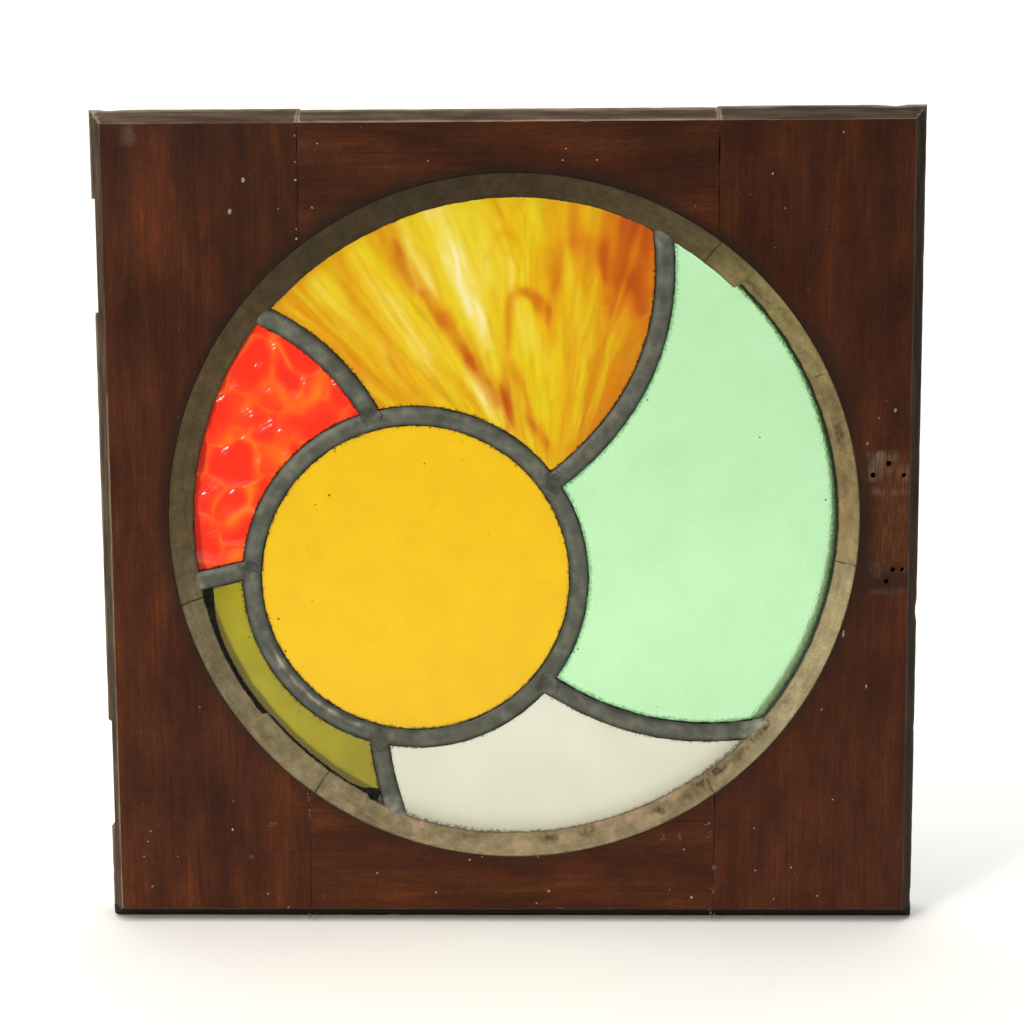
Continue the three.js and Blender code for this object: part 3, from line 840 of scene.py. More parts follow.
red_glass, tree, shader, place = new_finish("hammered_orange_red_glass")
height = add_node(tree, "ShaderNodeAttribute", output="Fac", attribute_name="lump")
uneven = add_node(tree, "ShaderNodeTexNoise", {"Vector": place, "Scale": 55.0, "Detail": 3.0})
uneven = add_node(tree, "ShaderNodeMapRange", {0: uneven, 1: 0.3, 2: 0.7, 3: -0.06, 4: 0.34})
height = add_node(tree, "ShaderNodeMath", {0: height, 1: uneven}, operation="ADD")
tint = add_node(
    tree,
    "ShaderNodeValToRGB",
    {"Fac": height},
    stops=[(0.0, "#ff7c16"), (0.1, "#ff6818"), (0.28, "#fe4819"), (0.52, "#fc3216")],
)
finish_glass(tree, shader, tint, "#5a1408", 1.0, 0.75, 0.15, place)
shader.inputs["Specular IOR Level"].default_value = 0.42
bm = glass_sheet("red_pane", 0.62 * MM, hammered, lump=lump)
lay_pane("red_pane", bm, red_glass)

# Streaky amber: yellow, cream, orange and red-brown drawn out together while soft. The sheet
# was pulled towards the point where the leads meet, so that its wisps fan out from there, and
# one fold stands in it like a flame. Each streak is from, by way of, to, half width, strength.
STREAK_STEPS = 16
CREAM_STREAKS = [
    ((208, 220), (229, 164), (253, 100), 20.0, 0.62),
    ((188, 208), (200, 170), (221, 130), 13.0, 0.64),
    ((158, 142), (180, 110), (204, 80), 13.0, 0.42),
    ((208, 216), (226, 166), (249, 112), 10.0, 0.8),
    ((234, 214), (247, 176), (258, 130), 17.0, 0.45), ((232, 108), (246, 80), (264, 50), 11.0, 0.7),
    ((262, 146), (271, 124), (284, 98), 11.0, 0.56), ((284, 118), (290, 94), (294, 70), 13.0, 0.26),
    ((259, 174), (261, 160), (263, 146), 7.0, 0.7), ((166, 168), (188, 132), (208, 96), 14.0, 0.5),
    ((136, 164), (150, 138), (170, 108), 12.0, 0.42),
    ((190, 142), (206, 112), (226, 80), 12.0, 0.45), ((299, 160), (304, 128), (308, 96), 12.0, 0.3),
    ((210, 130), (222, 108), (240, 80), 8.0, 0.3),
]
RUST_STREAKS = [
    ((112, 140), (150, 178), (204, 208), 17.0, 0.46),
    ((146, 178), (158, 156), (170, 132), 9.0, 0.46),
    ((176, 208), (187, 178), (198, 146), 11.0, 0.62),
    ((176, 186), (212, 142), (248, 90), 10.0, 0.5), ((208, 146), (236, 104), (268, 58), 9.0, 0.44),
    ((264, 148), (259, 100), (262, 46), 8.0, 0.42), ((240, 104), (255, 79), (266, 52), 11.0, 0.26),
    ((258, 112), (263, 143), (274, 142), 7.5, 0.5), ((264, 144), (278, 141), (290, 114), 7.5, 0.7),
    ((283, 216), (290, 170), (286, 118), 11.0, 0.55),
    ((246, 166), (262, 184), (274, 154), 4.2, 0.36),
    ((242, 202), (254, 182), (272, 154), 4.2, 0.32),
    ((298, 216), (303, 182), (309, 148), 10.0, 0.6),
    ((336, 226), (337, 172), (333, 124), 27.0, 0.85),
    ((346, 210), (347, 170), (346, 136), 18.0, 0.9),
    ((326, 208), (326, 174), (322, 142), 13.0, 0.75),
    ((308, 176), (334, 162), (366, 152), 17.0, 0.8),
    ((326, 190), (338, 168), (356, 140), 15.0, 0.7),
    ((356, 166), (344, 104), (302, 44), 20.0, 0.62),
    ((334, 160), (323, 128), (314, 96), 10.0, 0.45), ((300, 124), (298, 76), (300, 28), 9.0, 0.4),
    ((264, 102), (276, 68), (296, 38), 6.5, 0.5), ((270, 70), (281, 54), (292, 26), 7.0, 0.5),
    ((178, 128), (192, 100), (210, 80), 8.0, 0.5), ((142, 132), (164, 100), (194, 74), 11.0, 0.4),
    ((210, 106), (226, 90), (246, 72), 7.0, 0.3),
]


def streak_points(streaks):
    """The points along each streak with the box round them, its half width and its strength."""
    drawn = []
    for start, middle, end, width, strength in streaks:
        a, b, c = Vector(start), Vector(middle), Vector(end)
        pull = b * 2 - a / 2 - c / 2
        steps = [i / STREAK_STEPS for i in range(STREAK_STEPS + 1)]
        line = [a * (1 - t) ** 2 + pull * 2 * t * (1 - t) + c * t ** 2 for t in steps]
        low = Vector(map(min, zip(*line))) - Vector((width, width))
        high = Vector(map(max, zip(*line))) + Vector((width, width))
        drawn.append((line, low, high, width, strength))
    return drawn


def streak_tone(drawn, seed):
    """A tone(x, z) that is 1 in the middle of the strongest streaks and dies out at their ends."""

    def tone(x, z):
        sway = noise.noise(Vector((x / 11, z / 30, seed)))
        slip = noise.noise(Vector((x / 24, z / 24, 9)))
        fine = noise.noise(Vector((x / 4.5, z / 16, seed))) * 1.4
        spot = Vector((x, z)) + Vector((sway, slip)) * 3.6 + Vector((fine, 0))
        none = 1.0
        for line, low, high, width, strength in drawn:
            if not (low.x < spot.x < high.x and low.y < spot.y < high.y):
                continue
            stretches = enumerate(zip(line, line[1:]))
            gap, step = min((distance(spot, a, b), i) for i, (a, b) in stretches)
            along = (step + 0.5) / STREAK_STEPS
            taper = math.sin(math.pi * min(1.0, 0.12 + along * 0.8)) ** 0.6
            rise = min(1.0, max(0.0, 1.2 - 1.2 * gap / (width * taper)))
            none *= 1 - strength * taper * rise * rise * (3 - 2 * rise)
        return (1 - none) * (0.92 + 0.4 * noise.noise(Vector((x / 12, z / 34, seed + 4))))

    return tone


def distance(spot, a, b):
    """Distance from a point of the plane to a straight stretch."""
    run = b - a
    t = max(0.0, min(1.0, (spot - a).dot(run) / run.length_squared))
    return (spot - a - run * t).length


amber_glass, tree, shader, place = new_finish("streaky_amber_opalescent_glass")
in_mm = add_node(tree, "ShaderNodeVectorMath", {0: place, 3: 1 / MM}, operation="SCALE")
x_mm = add_node(tree, "ShaderNodeSeparateXYZ", {0: in_mm}, "X")
z_mm = add_node(tree, "ShaderNodeSeparateXYZ", {0: in_mm}, "Z")
aside = add_node(tree, "ShaderNodeMath", {0: x_mm, 1: 285.0}, operation="SUBTRACT")
above = add_node(tree, "ShaderNodeMath", {0: z_mm, 1: 10.0}, operation="ADD")
fan = add_node(tree, "ShaderNodeMath", {0: aside, 1: above}, operation="DIVIDE")
fan = add_node(tree, "ShaderNodeMath", {0: fan, 1: 170.0}, operation="MULTIPLY")
wisp_space = add_node(tree, "ShaderNodeCombineXYZ", {"X": fan, "Y": z_mm})
wisps = {}
spans = {"broad": (19, 75, 0), "fine": (7.0, 50, 7), "soft": (34, 80, 3), "lemon": (15, 70, 12)}
for name, (across, along, seed) in spans.items():
    moved = add_node(
        tree,
        "ShaderNodeMapping",
        {"Vector": wisp_space, "Location": (seed, seed, 0), "Scale": (1 / across, 1 / along, 1)},
    )
    wisps[name] = add_node(
        tree,
        "ShaderNodeTexNoise",
        {"Vector": moved, "Scale": 1.0, "Detail": 3.0, "Roughness": 0.45, "Distortion": 0.9},
    )
# from the left: honey, then lemon about the cream streaks, then honey again and deep orange
melt = add_node(tree, "ShaderNodeMix", {0: 0.5, 2: wisps["soft"], 3: wisps["broad"]}, data_type="FLOAT")
drift = add_node(tree, "ShaderNodeMapRange", {0: melt, 1: 0.3, 2: 0.7, 3: -40.0, 4: 40.0})
drift = add_node(tree, "ShaderNodeMath", {0: fan, 1: drift}, operation="ADD")
share = add_node(tree, "ShaderNodeMapRange", {0: drift, 1: -190.0, 2: 90.0, 3: 0.0, 4: 1.0})
tint = add_node(
    tree,
    "ShaderNodeValToRGB",
    {"Fac": share},
    stops=[
        (0.0, "#df9c00"), (0.13, "#e3ac00"), (0.25, "#e4bb06"), (0.37, "#e5c814"), (0.48, "#e6d022"),
        (0.58, "#e5c60a"), (0.7, "#e2b900"), (0.8, "#dda800"), (0.88, "#d28a00"), (1.0, "#c47000"),
    ],
)
lemon = add_node(tree, "ShaderNodeMapRange", {0: wisps["lemon"], 1: 0.48, 2: 0.66, 3: 0.0, 4: 0.7})
tint = add_node(
    tree,
    "ShaderNodeMix",
    {FACTOR: lemon, UNDER: tint, OVER: linear("#e8d41c")},
    COLOUR,
    data_type="RGBA",
)
honey = add_node(tree, "ShaderNodeMapRange", {0: wisps["broad"], 1: 0.5, 2: 0.68, 3: 0.0, 4: 0.66})
tint = add_node(
    tree,
    "ShaderNodeMix",
    {FACTOR: honey, UNDER: tint, OVER: linear("#d89400")},
    COLOUR,
    data_type="RGBA",
)
rings = add_node(tree, "ShaderNodeMath", {0: melt, 1: 75.0}, operation="MULTIPLY")
rings = add_node(tree, "ShaderNodeMath", {0: rings}, operation="SINE")
rings = add_node(tree, "ShaderNodeMapRange", {0: rings, 1: 0.0, 2: 1.0, 3: 1.0, 4: 0.93})
tint = add_node(
    tree,
    "ShaderNodeMix",
    {FACTOR: 1.0, UNDER: tint, OVER: rings},
    COLOUR,
    data_type="RGBA",
    blend_type="MULTIPLY",
)
streaky = add_node(tree, "ShaderNodeMapRange", {0: wisps["fine"], 1: 0.3, 2: 0.7, 3: 0.9, 4: 1.05})
tint = add_node(
    tree,
    "ShaderNodeMix",
    {FACTOR: 1.0, UNDER: tint, OVER: streaky},
    COLOUR,
    data_type="RGBA",
    blend_type="MULTIPLY",
)
melts = {
    "cream": [(0.12, "#e8ca14"), (0.42, "#ead238"), (0.7, "#eddc6e"), (0.95, "#f3e8b4")],
    "rust": [(0.1, "#df9a00"), (0.4, "#d88600"), (0.68, "#c66000"), (0.95, "#b04000")],
}
for name, tones in melts.items():
    tone = add_node(tree, "ShaderNodeAttribute", output="Fac", attribute_name=name)
    field = wisps["fine"] if name == "cream" else wisps["lemon"]
    thread = add_node(tree, "ShaderNodeMapRange", {0: field, 1: 0.34, 2: 0.66, 3: 0.75, 4: 1.2})
    tone = add_node(tree, "ShaderNodeMath", {0: tone, 1: thread}, operation="MULTIPLY")
    share = add_node(tree, "ShaderNodeMapRange", {0: tone, 1: 0.03, 2: 0.75, 3: 0.0, 4: 0.95})
    stroke = add_node(tree, "ShaderNodeValToRGB", {"Fac": tone}, stops=tones)
    tint = add_node(
        tree, "ShaderNodeMix", {FACTOR: share, UNDER: tint, OVER: stroke}, COLOUR, data_type="RGBA"
    )
finish_glass(tree, shader, tint, "#4a2404", 1.2, 0.8, 0.26, place)
bm = glass_sheet(
    "amber_pane",
    1.3 * MM,
    rolled,
    cream=streak_tone(streak_points(CREAM_STREAKS), 2),
    rust=streak_tone(streak_points(RUST_STREAKS), 5),
)
lay_pane("amber_pane", bm, amber_glass)

# ---------------------------------------------------------------- lead cames
# Drawn strips of soft lead, H-shaped in section: one bent to a ring round the yellow pane,
# and five branches cut to meet it. The leaves are domed, dented and dull with pale oxide.

HEART = 1.5 * MM
CAME_DEPTH = (came_high.y - came_low.y) / 2
LEAF_FLOOR = (GLASS_BACK - GLASS_FRONT) / 2 + 0.1 * MM
LEAF_EDGE = 0.45 * MM
DOME_STEPS = 12


def leaf_height(across):
    """How high a leaf stands over the middle of the glass, by distance from its middle."""
    fall = (CAME_DEPTH - LEAF_FLOOR - LEAF_EDGE) * min(1, abs(across) / (CAME_WIDTH / 2)) ** 2.3
    return CAME_DEPTH - fall


def came_section():
    """The H section, as (depth from the middle of the glass, place across)."""
    half = CAME_WIDTH / 2
    steps = [half * (2 * i / DOME_STEPS - 1) for i in range(DOME_STEPS + 1)]
    leaf = [(leaf_height(across), across) for across in steps]
    leaf += [(LEAF_FLOOR, half), (LEAF_FLOOR, HEART / 2)]
    other = [(-depth, across) for depth, across in reversed(leaf)]
    inner = [(LEAF_FLOOR, -HEART / 2), (LEAF_FLOOR, -half)]
    return leaf + other + [(-depth, across) for depth, across in reversed(inner)] + inner


def dent(bm, depth_of_dent):
    """Presses soft dents, small pits and a wandering edge into the leaves."""
    bm.normal_update()
    moves = []
    for vert in bm.verts:
        if abs(vert.co.y - GLASS_MIDDLE) > LEAF_FLOOR + 0.1 * MM:
            place = Vector((vert.co.x, vert.co.y * 0.3, vert.co.z))
            soft = abs(noise.noise(place * 75)) + 0.5 * abs(noise.noise(place * 240))
            pit = max(0, noise.noise(place * 190 + Vector((3, 8, 5))) - 0.45) * 2.4
            moves.append((vert, vert.normal * (soft + pit) * depth_of_dent))
    for vert, move in moves:
        vert.co -= move


def weathered_lead(name, tones, oxide_from):
    """Old lead: dull blue-grey metal under a patchy oxide, scuffed, and darker towards its edges: grime
    and painted shade on the cames' domed leaves, a crack on the solder.
    """
    material, tree, shader, place = new_finish(name)
    tarnish = add_node(tree, "ShaderNodeTexNoise", {"Vector": place, "Scale": 95.0, "Detail": 5.0})
    bloom = add_node(
        tree, "ShaderNodeTexNoise", {"Vector": place, "Scale": 75.0, "Detail": 7.0, "Roughness": 0.75}
    )
    scuffs = add_node(tree, "ShaderNodeTexNoise", {"Vector": place, "Scale": 640.0, "Detail": 3.0})
    tint = add_node(tree, "ShaderNodeValToRGB", {"Fac": tarnish}, stops=tones)
    grit = add_node(tree, "ShaderNodeMapRange", {0: scuffs, 1: 0.3, 2: 0.7, 3: 0.88, 4: 1.08})
    tint = add_node(
        tree,
        "ShaderNodeMix",
        {FACTOR: 1.0, UNDER: tint, OVER: grit},
        COLOUR,
        data_type="RGBA",
        blend_type="MULTIPLY",
    )
    # grime and painted shade: darker towards the edges of the leaves, where the dome falls away
    flank = add_node(tree, "ShaderNodeAttribute", output="Fac", attribute_name="flank")
    soot_and_shade = add_node(tree, "ShaderNodeMapRange", {0: flank, 1: 0.5, 2: 1.0, 3: 1.08, 4: 0.42})
    tint = add_node(
        tree,
        "ShaderNodeMix",
        {FACTOR: 1.0, UNDER: tint, OVER: soot_and_shade},
        COLOUR,
        data_type="RGBA",
        blend_type="MULTIPLY",
    )
    oxide = add_node(
        tree, "ShaderNodeMapRange", {0: bloom, 1: oxide_from, 2: oxide_from + 0.12, 3: 0.0, 4: 0.55}
    )
    tint = add_node(
        tree,
        "ShaderNodeMix",
        {FACTOR: oxide, UNDER: tint, OVER: linear("#a3a394")},
        COLOUR,
        data_type="RGBA",
    )
    chalk = add_node(tree, "ShaderNodeAttribute", output="Fac", attribute_name="chalk")
    flaky = add_node(tree, "ShaderNodeMapRange", {0: tarnish, 1: 0.42, 2: 0.58, 3: 0.25, 4: 1.0})
    chalk = add_node(tree, "ShaderNodeMath", {0: chalk, 1: flaky}, operation="MULTIPLY")
    tint = add_node(
        tree,
        "ShaderNodeMix",
        {FACTOR: chalk, UNDER: tint, OVER: linear("#b4b3a4")},
        COLOUR,
        data_type="RGBA",
    )
    metal = add_node(tree, "ShaderNodeMapRange", {0: oxide, 1: 0.0, 2: 0.5, 3: 0.4, 4: 0.15})
    rough = add_node(tree, "ShaderNodeMapRange", {0: tarnish, 1: 0.3, 2: 0.7, 3: 0.4, 4: 0.56})
    bump = add_node(tree, "ShaderNodeBump", {"Strength": 0.4, "Distance": 0.25 * MM, "Height": scuffs})
    tree.links.new(tint, shader.inputs["Base Color"])
    tree.links.new(metal, shader.inputs["Metallic"])
    tree.links.new(rough, shader.inputs["Roughness"])
    tree.links.new(bump, shader.inputs["Normal"])
    return material


came_lead = weathered_lead(
    "weathered_came_lead", [(0.3, "#43463e"), (0.5, "#53564c"), (0.7, "#696c60")], 0.64
)


def turned_ring(section, centre, radius, steps):
    """A closed section of (depth, outwards) points turned about an axis through the glass."""
    bm = bmesh.new()
    verts = [
        bm.verts.new((centre.x + radius + outwards, depth, centre.z)) for depth, outwards in section
    ]
    loop = [bm.edges.new((a, b)) for a, b in zip(verts, verts[1:] + verts[:1])]
    bmesh.ops.spin(
        bm, geom=loop, cent=centre, axis=(0, -1, 0), angle=2 * math.pi, steps=steps, use_merge=True
    )
    bmesh.ops.recalc_face_normals(bm, faces=bm.faces)
    return bm


def pale_crust(spot):
    """Where oxide lies thick: a streak low on the ring's left, and the branches' ends."""
    out = (spot - ROUNDEL).xz
    bearing = math.degrees(math.atan2(out.y, out.x)) % 360
    along = min(1.0, max(0.0, (25 - abs(bearing - 227)) / 6))
    wander = 0.9 * MM * noise.noise(spot * 90)
    streak = along * max(0.0, 1 - abs(out.length - 102.6 * MM + wander) / (1.5 * MM))
    end = min(1.0, max(0.0, ((spot - RING).xz.length - 193 * MM) / (12 * MM)))
    lumpy = 0.5 + noise.noise(spot * 160)
    return max(streak * (0.3 + 0.9 * lumpy), end * 0.6 * lumpy)


def lead_piece(node, bm):
    """Puts a finished came in place of its plain solid."""
    dent(bm, 0.3 * MM)
    if bm.calc_volume(signed=True) < 0:  # the long bent strips can come out inside out
        bmesh.ops.reverse_faces(bm, faces=bm.faces)
    flank = bm.verts.layers.float.new("flank")
    chalk = bm.verts.layers.float.new("chalk")
    for vert in bm.verts:
        vert[flank] = min(1.0, to_lead(vert.co.x, vert.co.z) / (CAME_WIDTH / 2))
        vert[chalk] = pale_crust(vert.co)
    smooth_all(bm)
    came = new_piece(node + "_lead", bm, came_lead)
    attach(came, "root")
    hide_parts(node)


round_section = [(GLASS_MIDDLE + depth, across) for depth, across in came_section()]
lead_piece("round_came", turned_ring(round_section, ROUNDEL, CAME_RADIUS, 480))


def bent_strip(name, section, start, end, pitch):
    """A straight strip of the section, then bent to a stretch of the branch's line."""
    point, length = branch_line(name)
    bm = bmesh.new()
    profile = bm.faces.new([bm.verts.new((start, depth, across)) for depth, across in section])
    out = bmesh.ops.extrude_face_region(bm, geom=[profile])["geom"]
    bmesh.ops.translate(bm, verts=points_of(out), vec=(end - start, 0, 0))
    long_edges = [e for e in bm.edges if abs(e.verts[0].co.x - e.verts[1].co.x) > (end - start) / 2]
    bmesh.ops.subdivide_edges(bm, edges=long_edges, cuts=round(length * (end - start) / pitch))
    for vert in bm.verts:
        t, depth, across = vert.co
        ahead = (point(t + 0.001) - point(t - 0.001)).normalized()
        vert.co = point(t) + Vector((-ahead.z, 0, ahead.x)) * across + Vector((0, depth, 0))
    bmesh.ops.recalc_face_normals(bm, faces=bm.faces)
    return bm


def branch_stretch(name, inner, outer):
    """Where along a branch it clears the round came and where it ends under the putty."""
    point, _ = branch_line(name)
    steps = [i / 400 for i in range(401)]
    first = next(t for t in steps if (point(t) - ROUNDEL).xz.length > inner)
    last = next(t for t in steps if (point(t) - RING).xz.length > outer)
    return first, last


UNDER_PUTTY = 213.5 * MM
for name in BRANCHES:
    start, end = branch_stretch(name, CAME_RADIUS + CAME_WIDTH / 2 - 0.6 * MM, UNDER_PUTTY)
    lead_piece(name + "_came", bent_strip(name, came_section(), start, end, 1.3 * MM))

# ---------------------------------------------------------------- glazing cement
# Black cement brushed under the leaves on both faces. A thin ragged fillet of it is left
# along the edges of the lead, most of it washed away.

CEMENT = 0.5 * MM
cement_finish, tree, shader, place = new_finish("black_glazing_cement")
grit = add_node(tree, "ShaderNodeTexNoise", {"Vector": place, "Scale": 500.0, "Detail": 4.0})
tint = add_node(
    tree, "ShaderNodeValToRGB", {"Fac": grit}, stops=[(0.35, "#110f0a"), (0.68, "#2c2820")]
)
tree.links.new(tint, shader.inputs["Base Color"])
shader.inputs["Roughness"].default_value = 0.85
shader.inputs["Specular IOR Level"].default_value = 0.1


def cement_section(side, face):
    """A low wedge against one edge of a leaf: side is -1 or 1, face is -1 outside."""
    half = CAME_WIDTH / 2
    glass = (GLASS_BACK - GLASS_FRONT) / 2 - 0.05 * MM
    wedge = [(glass, half - 0.6 * MM), (glass, half + CEMENT), (glass + 0.35 * MM, half + CEMENT * 0.4)]
    wedge.append((glass + 0.65 * MM, half - 0.2 * MM))
    return [(GLASS_MIDDLE + depth * face, across * side) for depth, across in wedge]


def fray(bm, from_edge):
    """Pulls the cement back under the lead here and there."""
    for vert in bm.verts:
        ragged_by = noise.noise(vert.co * 140) * 0.7 + noise.noise(vert.co * 520) * 0.5
        vert.co += from_edge(vert.co) * (ragged_by - 0.28) * CEMENT


def towards_lead(spot):
    """The direction, in the plane of the glass, to the nearest middle line of lead."""
    flat = Vector((spot.x, GLASS_MIDDLE, spot.z))
    out = flat - ROUNDEL
    around = ROUNDEL + out.normalized() * CAME_RADIUS
    branch = lead_lines.find(flat)[0]
    nearest = min((around, branch), key=lambda place: (place - flat).length)
    return (flat - nearest).normalized()


cement_parts = []
for side in (-1, 1):
    for face in (-1, 1):
        cement_parts.append(turned_ring(cement_section(side, face), ROUNDEL, CAME_RADIUS, 720))
        for name in BRANCHES:
            start, end = branch_stretch(name, CAME_RADIUS + CAME_WIDTH / 2, 205.5 * MM)
            section = [(depth - GLASS_MIDDLE, across) for depth, across in cement_section(side, face)]
            cement_parts.append(bent_strip(name, section, start, end, 0.9 * MM))
cement = bmesh.new()
for part in cement_parts:
    fray(part, towards_lead)
    spare = bpy.data.meshes.new("spare")
    part.to_mesh(spare)
    part.free()
    cement.from_mesh(spare)
    bpy.data.meshes.remove(spare)
smooth_all(cement)
bmesh.ops.recalc_face_normals(cement, faces=cement.faces)
cement_lines = new_piece("glazing_cement", cement, cement_finish)
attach(cement_lines, "root")

# ---------------------------------------------------------------- solder
# Tin-lead solder flooded over the five joints on both faces, and filed almost flush. Each is
# a thin flat puddle of the came's own width, with a crack round it.

SOLDER_REACH = 9.5 * MM
SOLDER_PITCH = 0.55 * MM
SOLDER_THICKNESS = 0.35 * MM
SOLDER_CRACK = 0.9 * MM  # the dark edge of a puddle is this wide


def solder_puddle(centre, face):
    """A thin sheet of solder over the lead about a joint, on one face of the light."""
    bm = bmesh.new()
    steps = round(2 * SOLDER_REACH / SOLDER_PITCH)
    middle = (centre.x, GLASS_MIDDLE, centre.z)
    bmesh.ops.create_grid(
        bm, x_segments=steps, y_segments=steps, size=SOLDER_REACH,
        matrix=Matrix.Translation(middle) @ Matrix.Rotation(math.pi / 2, 4, "X"),
    )
    flank = bm.verts.layers.float.new("flank")
    spare = []
    for vert in bm.verts:
        reach = (Vector((vert.co.x, 0, vert.co.z)) - centre).xz.length
        ragged_reach = SOLDER_REACH * (0.8 + 0.3 * noise.noise(vert.co * 160))
        across = to_lead(vert.co.x, vert.co.z)
        if reach > ragged_reach or across > CAME_WIDTH / 2 - 0.05 * MM:
            spare.append(vert)
            continue
        edge = max(reach - ragged_reach + SOLDER_CRACK, across - CAME_WIDTH / 2 + 0.8 * MM)
        vert[flank] = max(0.0, min(1.0, edge / SOLDER_CRACK))
        swell = SOLDER_THICKNESS * (0.75 + 0.5 * noise.noise(vert.co * 420)) + 0.05 * MM
        vert.co.y = GLASS_MIDDLE + face * (leaf_height(across * 0.9) + swell - 0.15 * MM)
    bmesh.ops.delete(bm, geom=spare, context="VERTS")
    out = bmesh.ops.extrude_face_region(bm, geom=bm.faces[:])["geom"]
    bmesh.ops.translate(bm, verts=points_of(out), vec=(0, -face * 0.9 * MM, 0))
    bmesh.ops.recalc_face_normals(bm, faces=bm.faces)
    for vert in bm.verts:
        depth = abs(vert.co.y - GLASS_MIDDLE)
        vert.co.y = GLASS_MIDDLE + face * min(depth, CAME_DEPTH + 0.2 * MM)
    for facet in bm.faces:
        facet.smooth = abs(facet.normal.y) > 0.5
    return bm


solder_finish = weathered_lead(
    "filed_tin_lead_solder", [(0.3, "#30312b"), (0.5, "#46473f"), (0.7, "#6c6c62")], 0.58
)
for name in BRANCHES:
    point, _ = branch_line(name)
    joint = point(branch_stretch(name, CAME_RADIUS + 3.5 * MM, BRANCH_END * 0.99)[0])
    for face, side in ((-1, "outer"), (1, "inner")):
        puddle = new_piece(f"{name}_solder_{side}", solder_puddle(joint, face), solder_finish)
        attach(puddle, "root")

# ---------------------------------------------------------------- gap shadow
# A black sheet laid as painted shadow in the gap between the olive pane and the putty, where
# the pane was cut short, thick at its two ends and a thin line between.

GAP_SHADOW_ANGLES = (192.6, 244.0)
GAP_SHADOW_DEPTH = 0.4 * MM
GAP_SHADOW_OUTSIDE = 207.0
GAP_SHADOW_EDGE = [
    (192.6, 197.4), (195.5, 199.4), (198, 201.6), (203, 203.2), (210, 203.6), (217, 203.0),
    (220, 201.9), (232, 201.7), (238, 202.4), (240.6, 201.2), (242.4, 198.0), (244.0, 196.0),
]


def between(table, degrees):
    """Reads a short table of (angle, value), straight between its entries."""
    for (a, value_a), (b, value_b) in zip(table, table[1:]):
        if a <= degrees <= b:
            return value_a + (value_b - value_a) * (degrees - a) / (b - a)
    return table[-1][1]


bm = bmesh.new()
bmesh.ops.create_grid(bm, x_segments=260, y_segments=5, size=0.5)
for vert in bm.verts:
    share = max(0.0, min(1.0, vert.co.x + 0.5))
    degrees = GAP_SHADOW_ANGLES[0] + (GAP_SHADOW_ANGLES[1] - GAP_SHADOW_ANGLES[0]) * share
    inner = between(GAP_SHADOW_EDGE, degrees)
    inner += 0.5 * noise.noise(Vector((degrees * 1.6, 0, 0)))
    inner += 0.3 * noise.noise(Vector((degrees * 6, 1, 0)))
    across = max(0.0, min(1.0, vert.co.y + 0.5))
    spot = on_circle(RING, (inner + (GAP_SHADOW_OUTSIDE - inner) * across) * MM, degrees)
    crest = 0.1 + 0.4 * math.sin(math.pi * min(1.0, across * 1.6) / 1.6)
    vert.co = Vector((spot.x, GLASS_FRONT - (crest + 0.15 * noise.noise(spot * 600)) * MM, spot.z))
out = bmesh.ops.extrude_face_region(bm, geom=bm.faces[:])["geom"]
bmesh.ops.translate(bm, verts=points_of(out), vec=(0, GAP_SHADOW_DEPTH, 0))
bmesh.ops.recalc_face_normals(bm, faces=bm.faces)
smooth_all(bm)
gap_shadow_finish, tree, shader, place = new_finish("painted_black_gap_shadow")
grit = add_node(tree, "ShaderNodeTexNoise", {"Vector": place, "Scale": 300.0, "Detail": 4.0})
tint = add_node(
    tree, "ShaderNodeValToRGB", {"Fac": grit}, stops=[(0.4, "#090905"), (0.7, "#1d1b13")]
)
tree.links.new(tint, shader.inputs["Base Color"])
shader.inputs["Roughness"].default_value = 0.7
shader.inputs["Specular IOR Level"].default_value = 0.1
gap_shadow = new_piece("olive_pane_gap_shadow", bm, gap_shadow_finish)
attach(gap_shadow, "root")

# ---------------------------------------------------------------- putty
# Linseed oil putty pressed round the glass and struck off to a slope with a knife, then
# weathered: brushed and cracked over the joints of the boards. It is painted dark above and
# pale below, painted shade and light of the slope.

PUTTY_RADIUS = REBATE_RADIUS - 0.15 * MM
PUTTY_BED = 206 * MM
PUTTY_STEPS = 1440
SHOULDER = opening_high.y

# how far in the foot of the slope reaches, by angle from +X towards +Z; where two entries
# almost share an angle, a length of putty has come away beside one that held
FOOT = [
    (0, 206.0), (46, 206.0), (46.5, 201.3), (60, 201.5), (75, 203.0), (90, 202.8), (115, 201.8),
    (135, 202.3), (145, 204.0), (160, 203.5), (190, 204.5), (203, 206.0), (217.7, 206.0),
    (218.2, 203.0), (242, 203.2), (242.6, 205.0), (249, 206.0), (262, 206.0), (270, 204.8),
    (300, 204.8), (312, 206.0), (360, 206.0),
]
# cracks right across the putty, by angle, with their width in degrees and depth
CRACKS = [
    (53.4, 0.16, 1.3), (194.0, 0.2, 1.0), (233.7, 0.14, 1.2), (306.2, 0.12, 0.9),
    (352.5, 0.12, 0.8), (25.5, 0.1, 0.5),
]
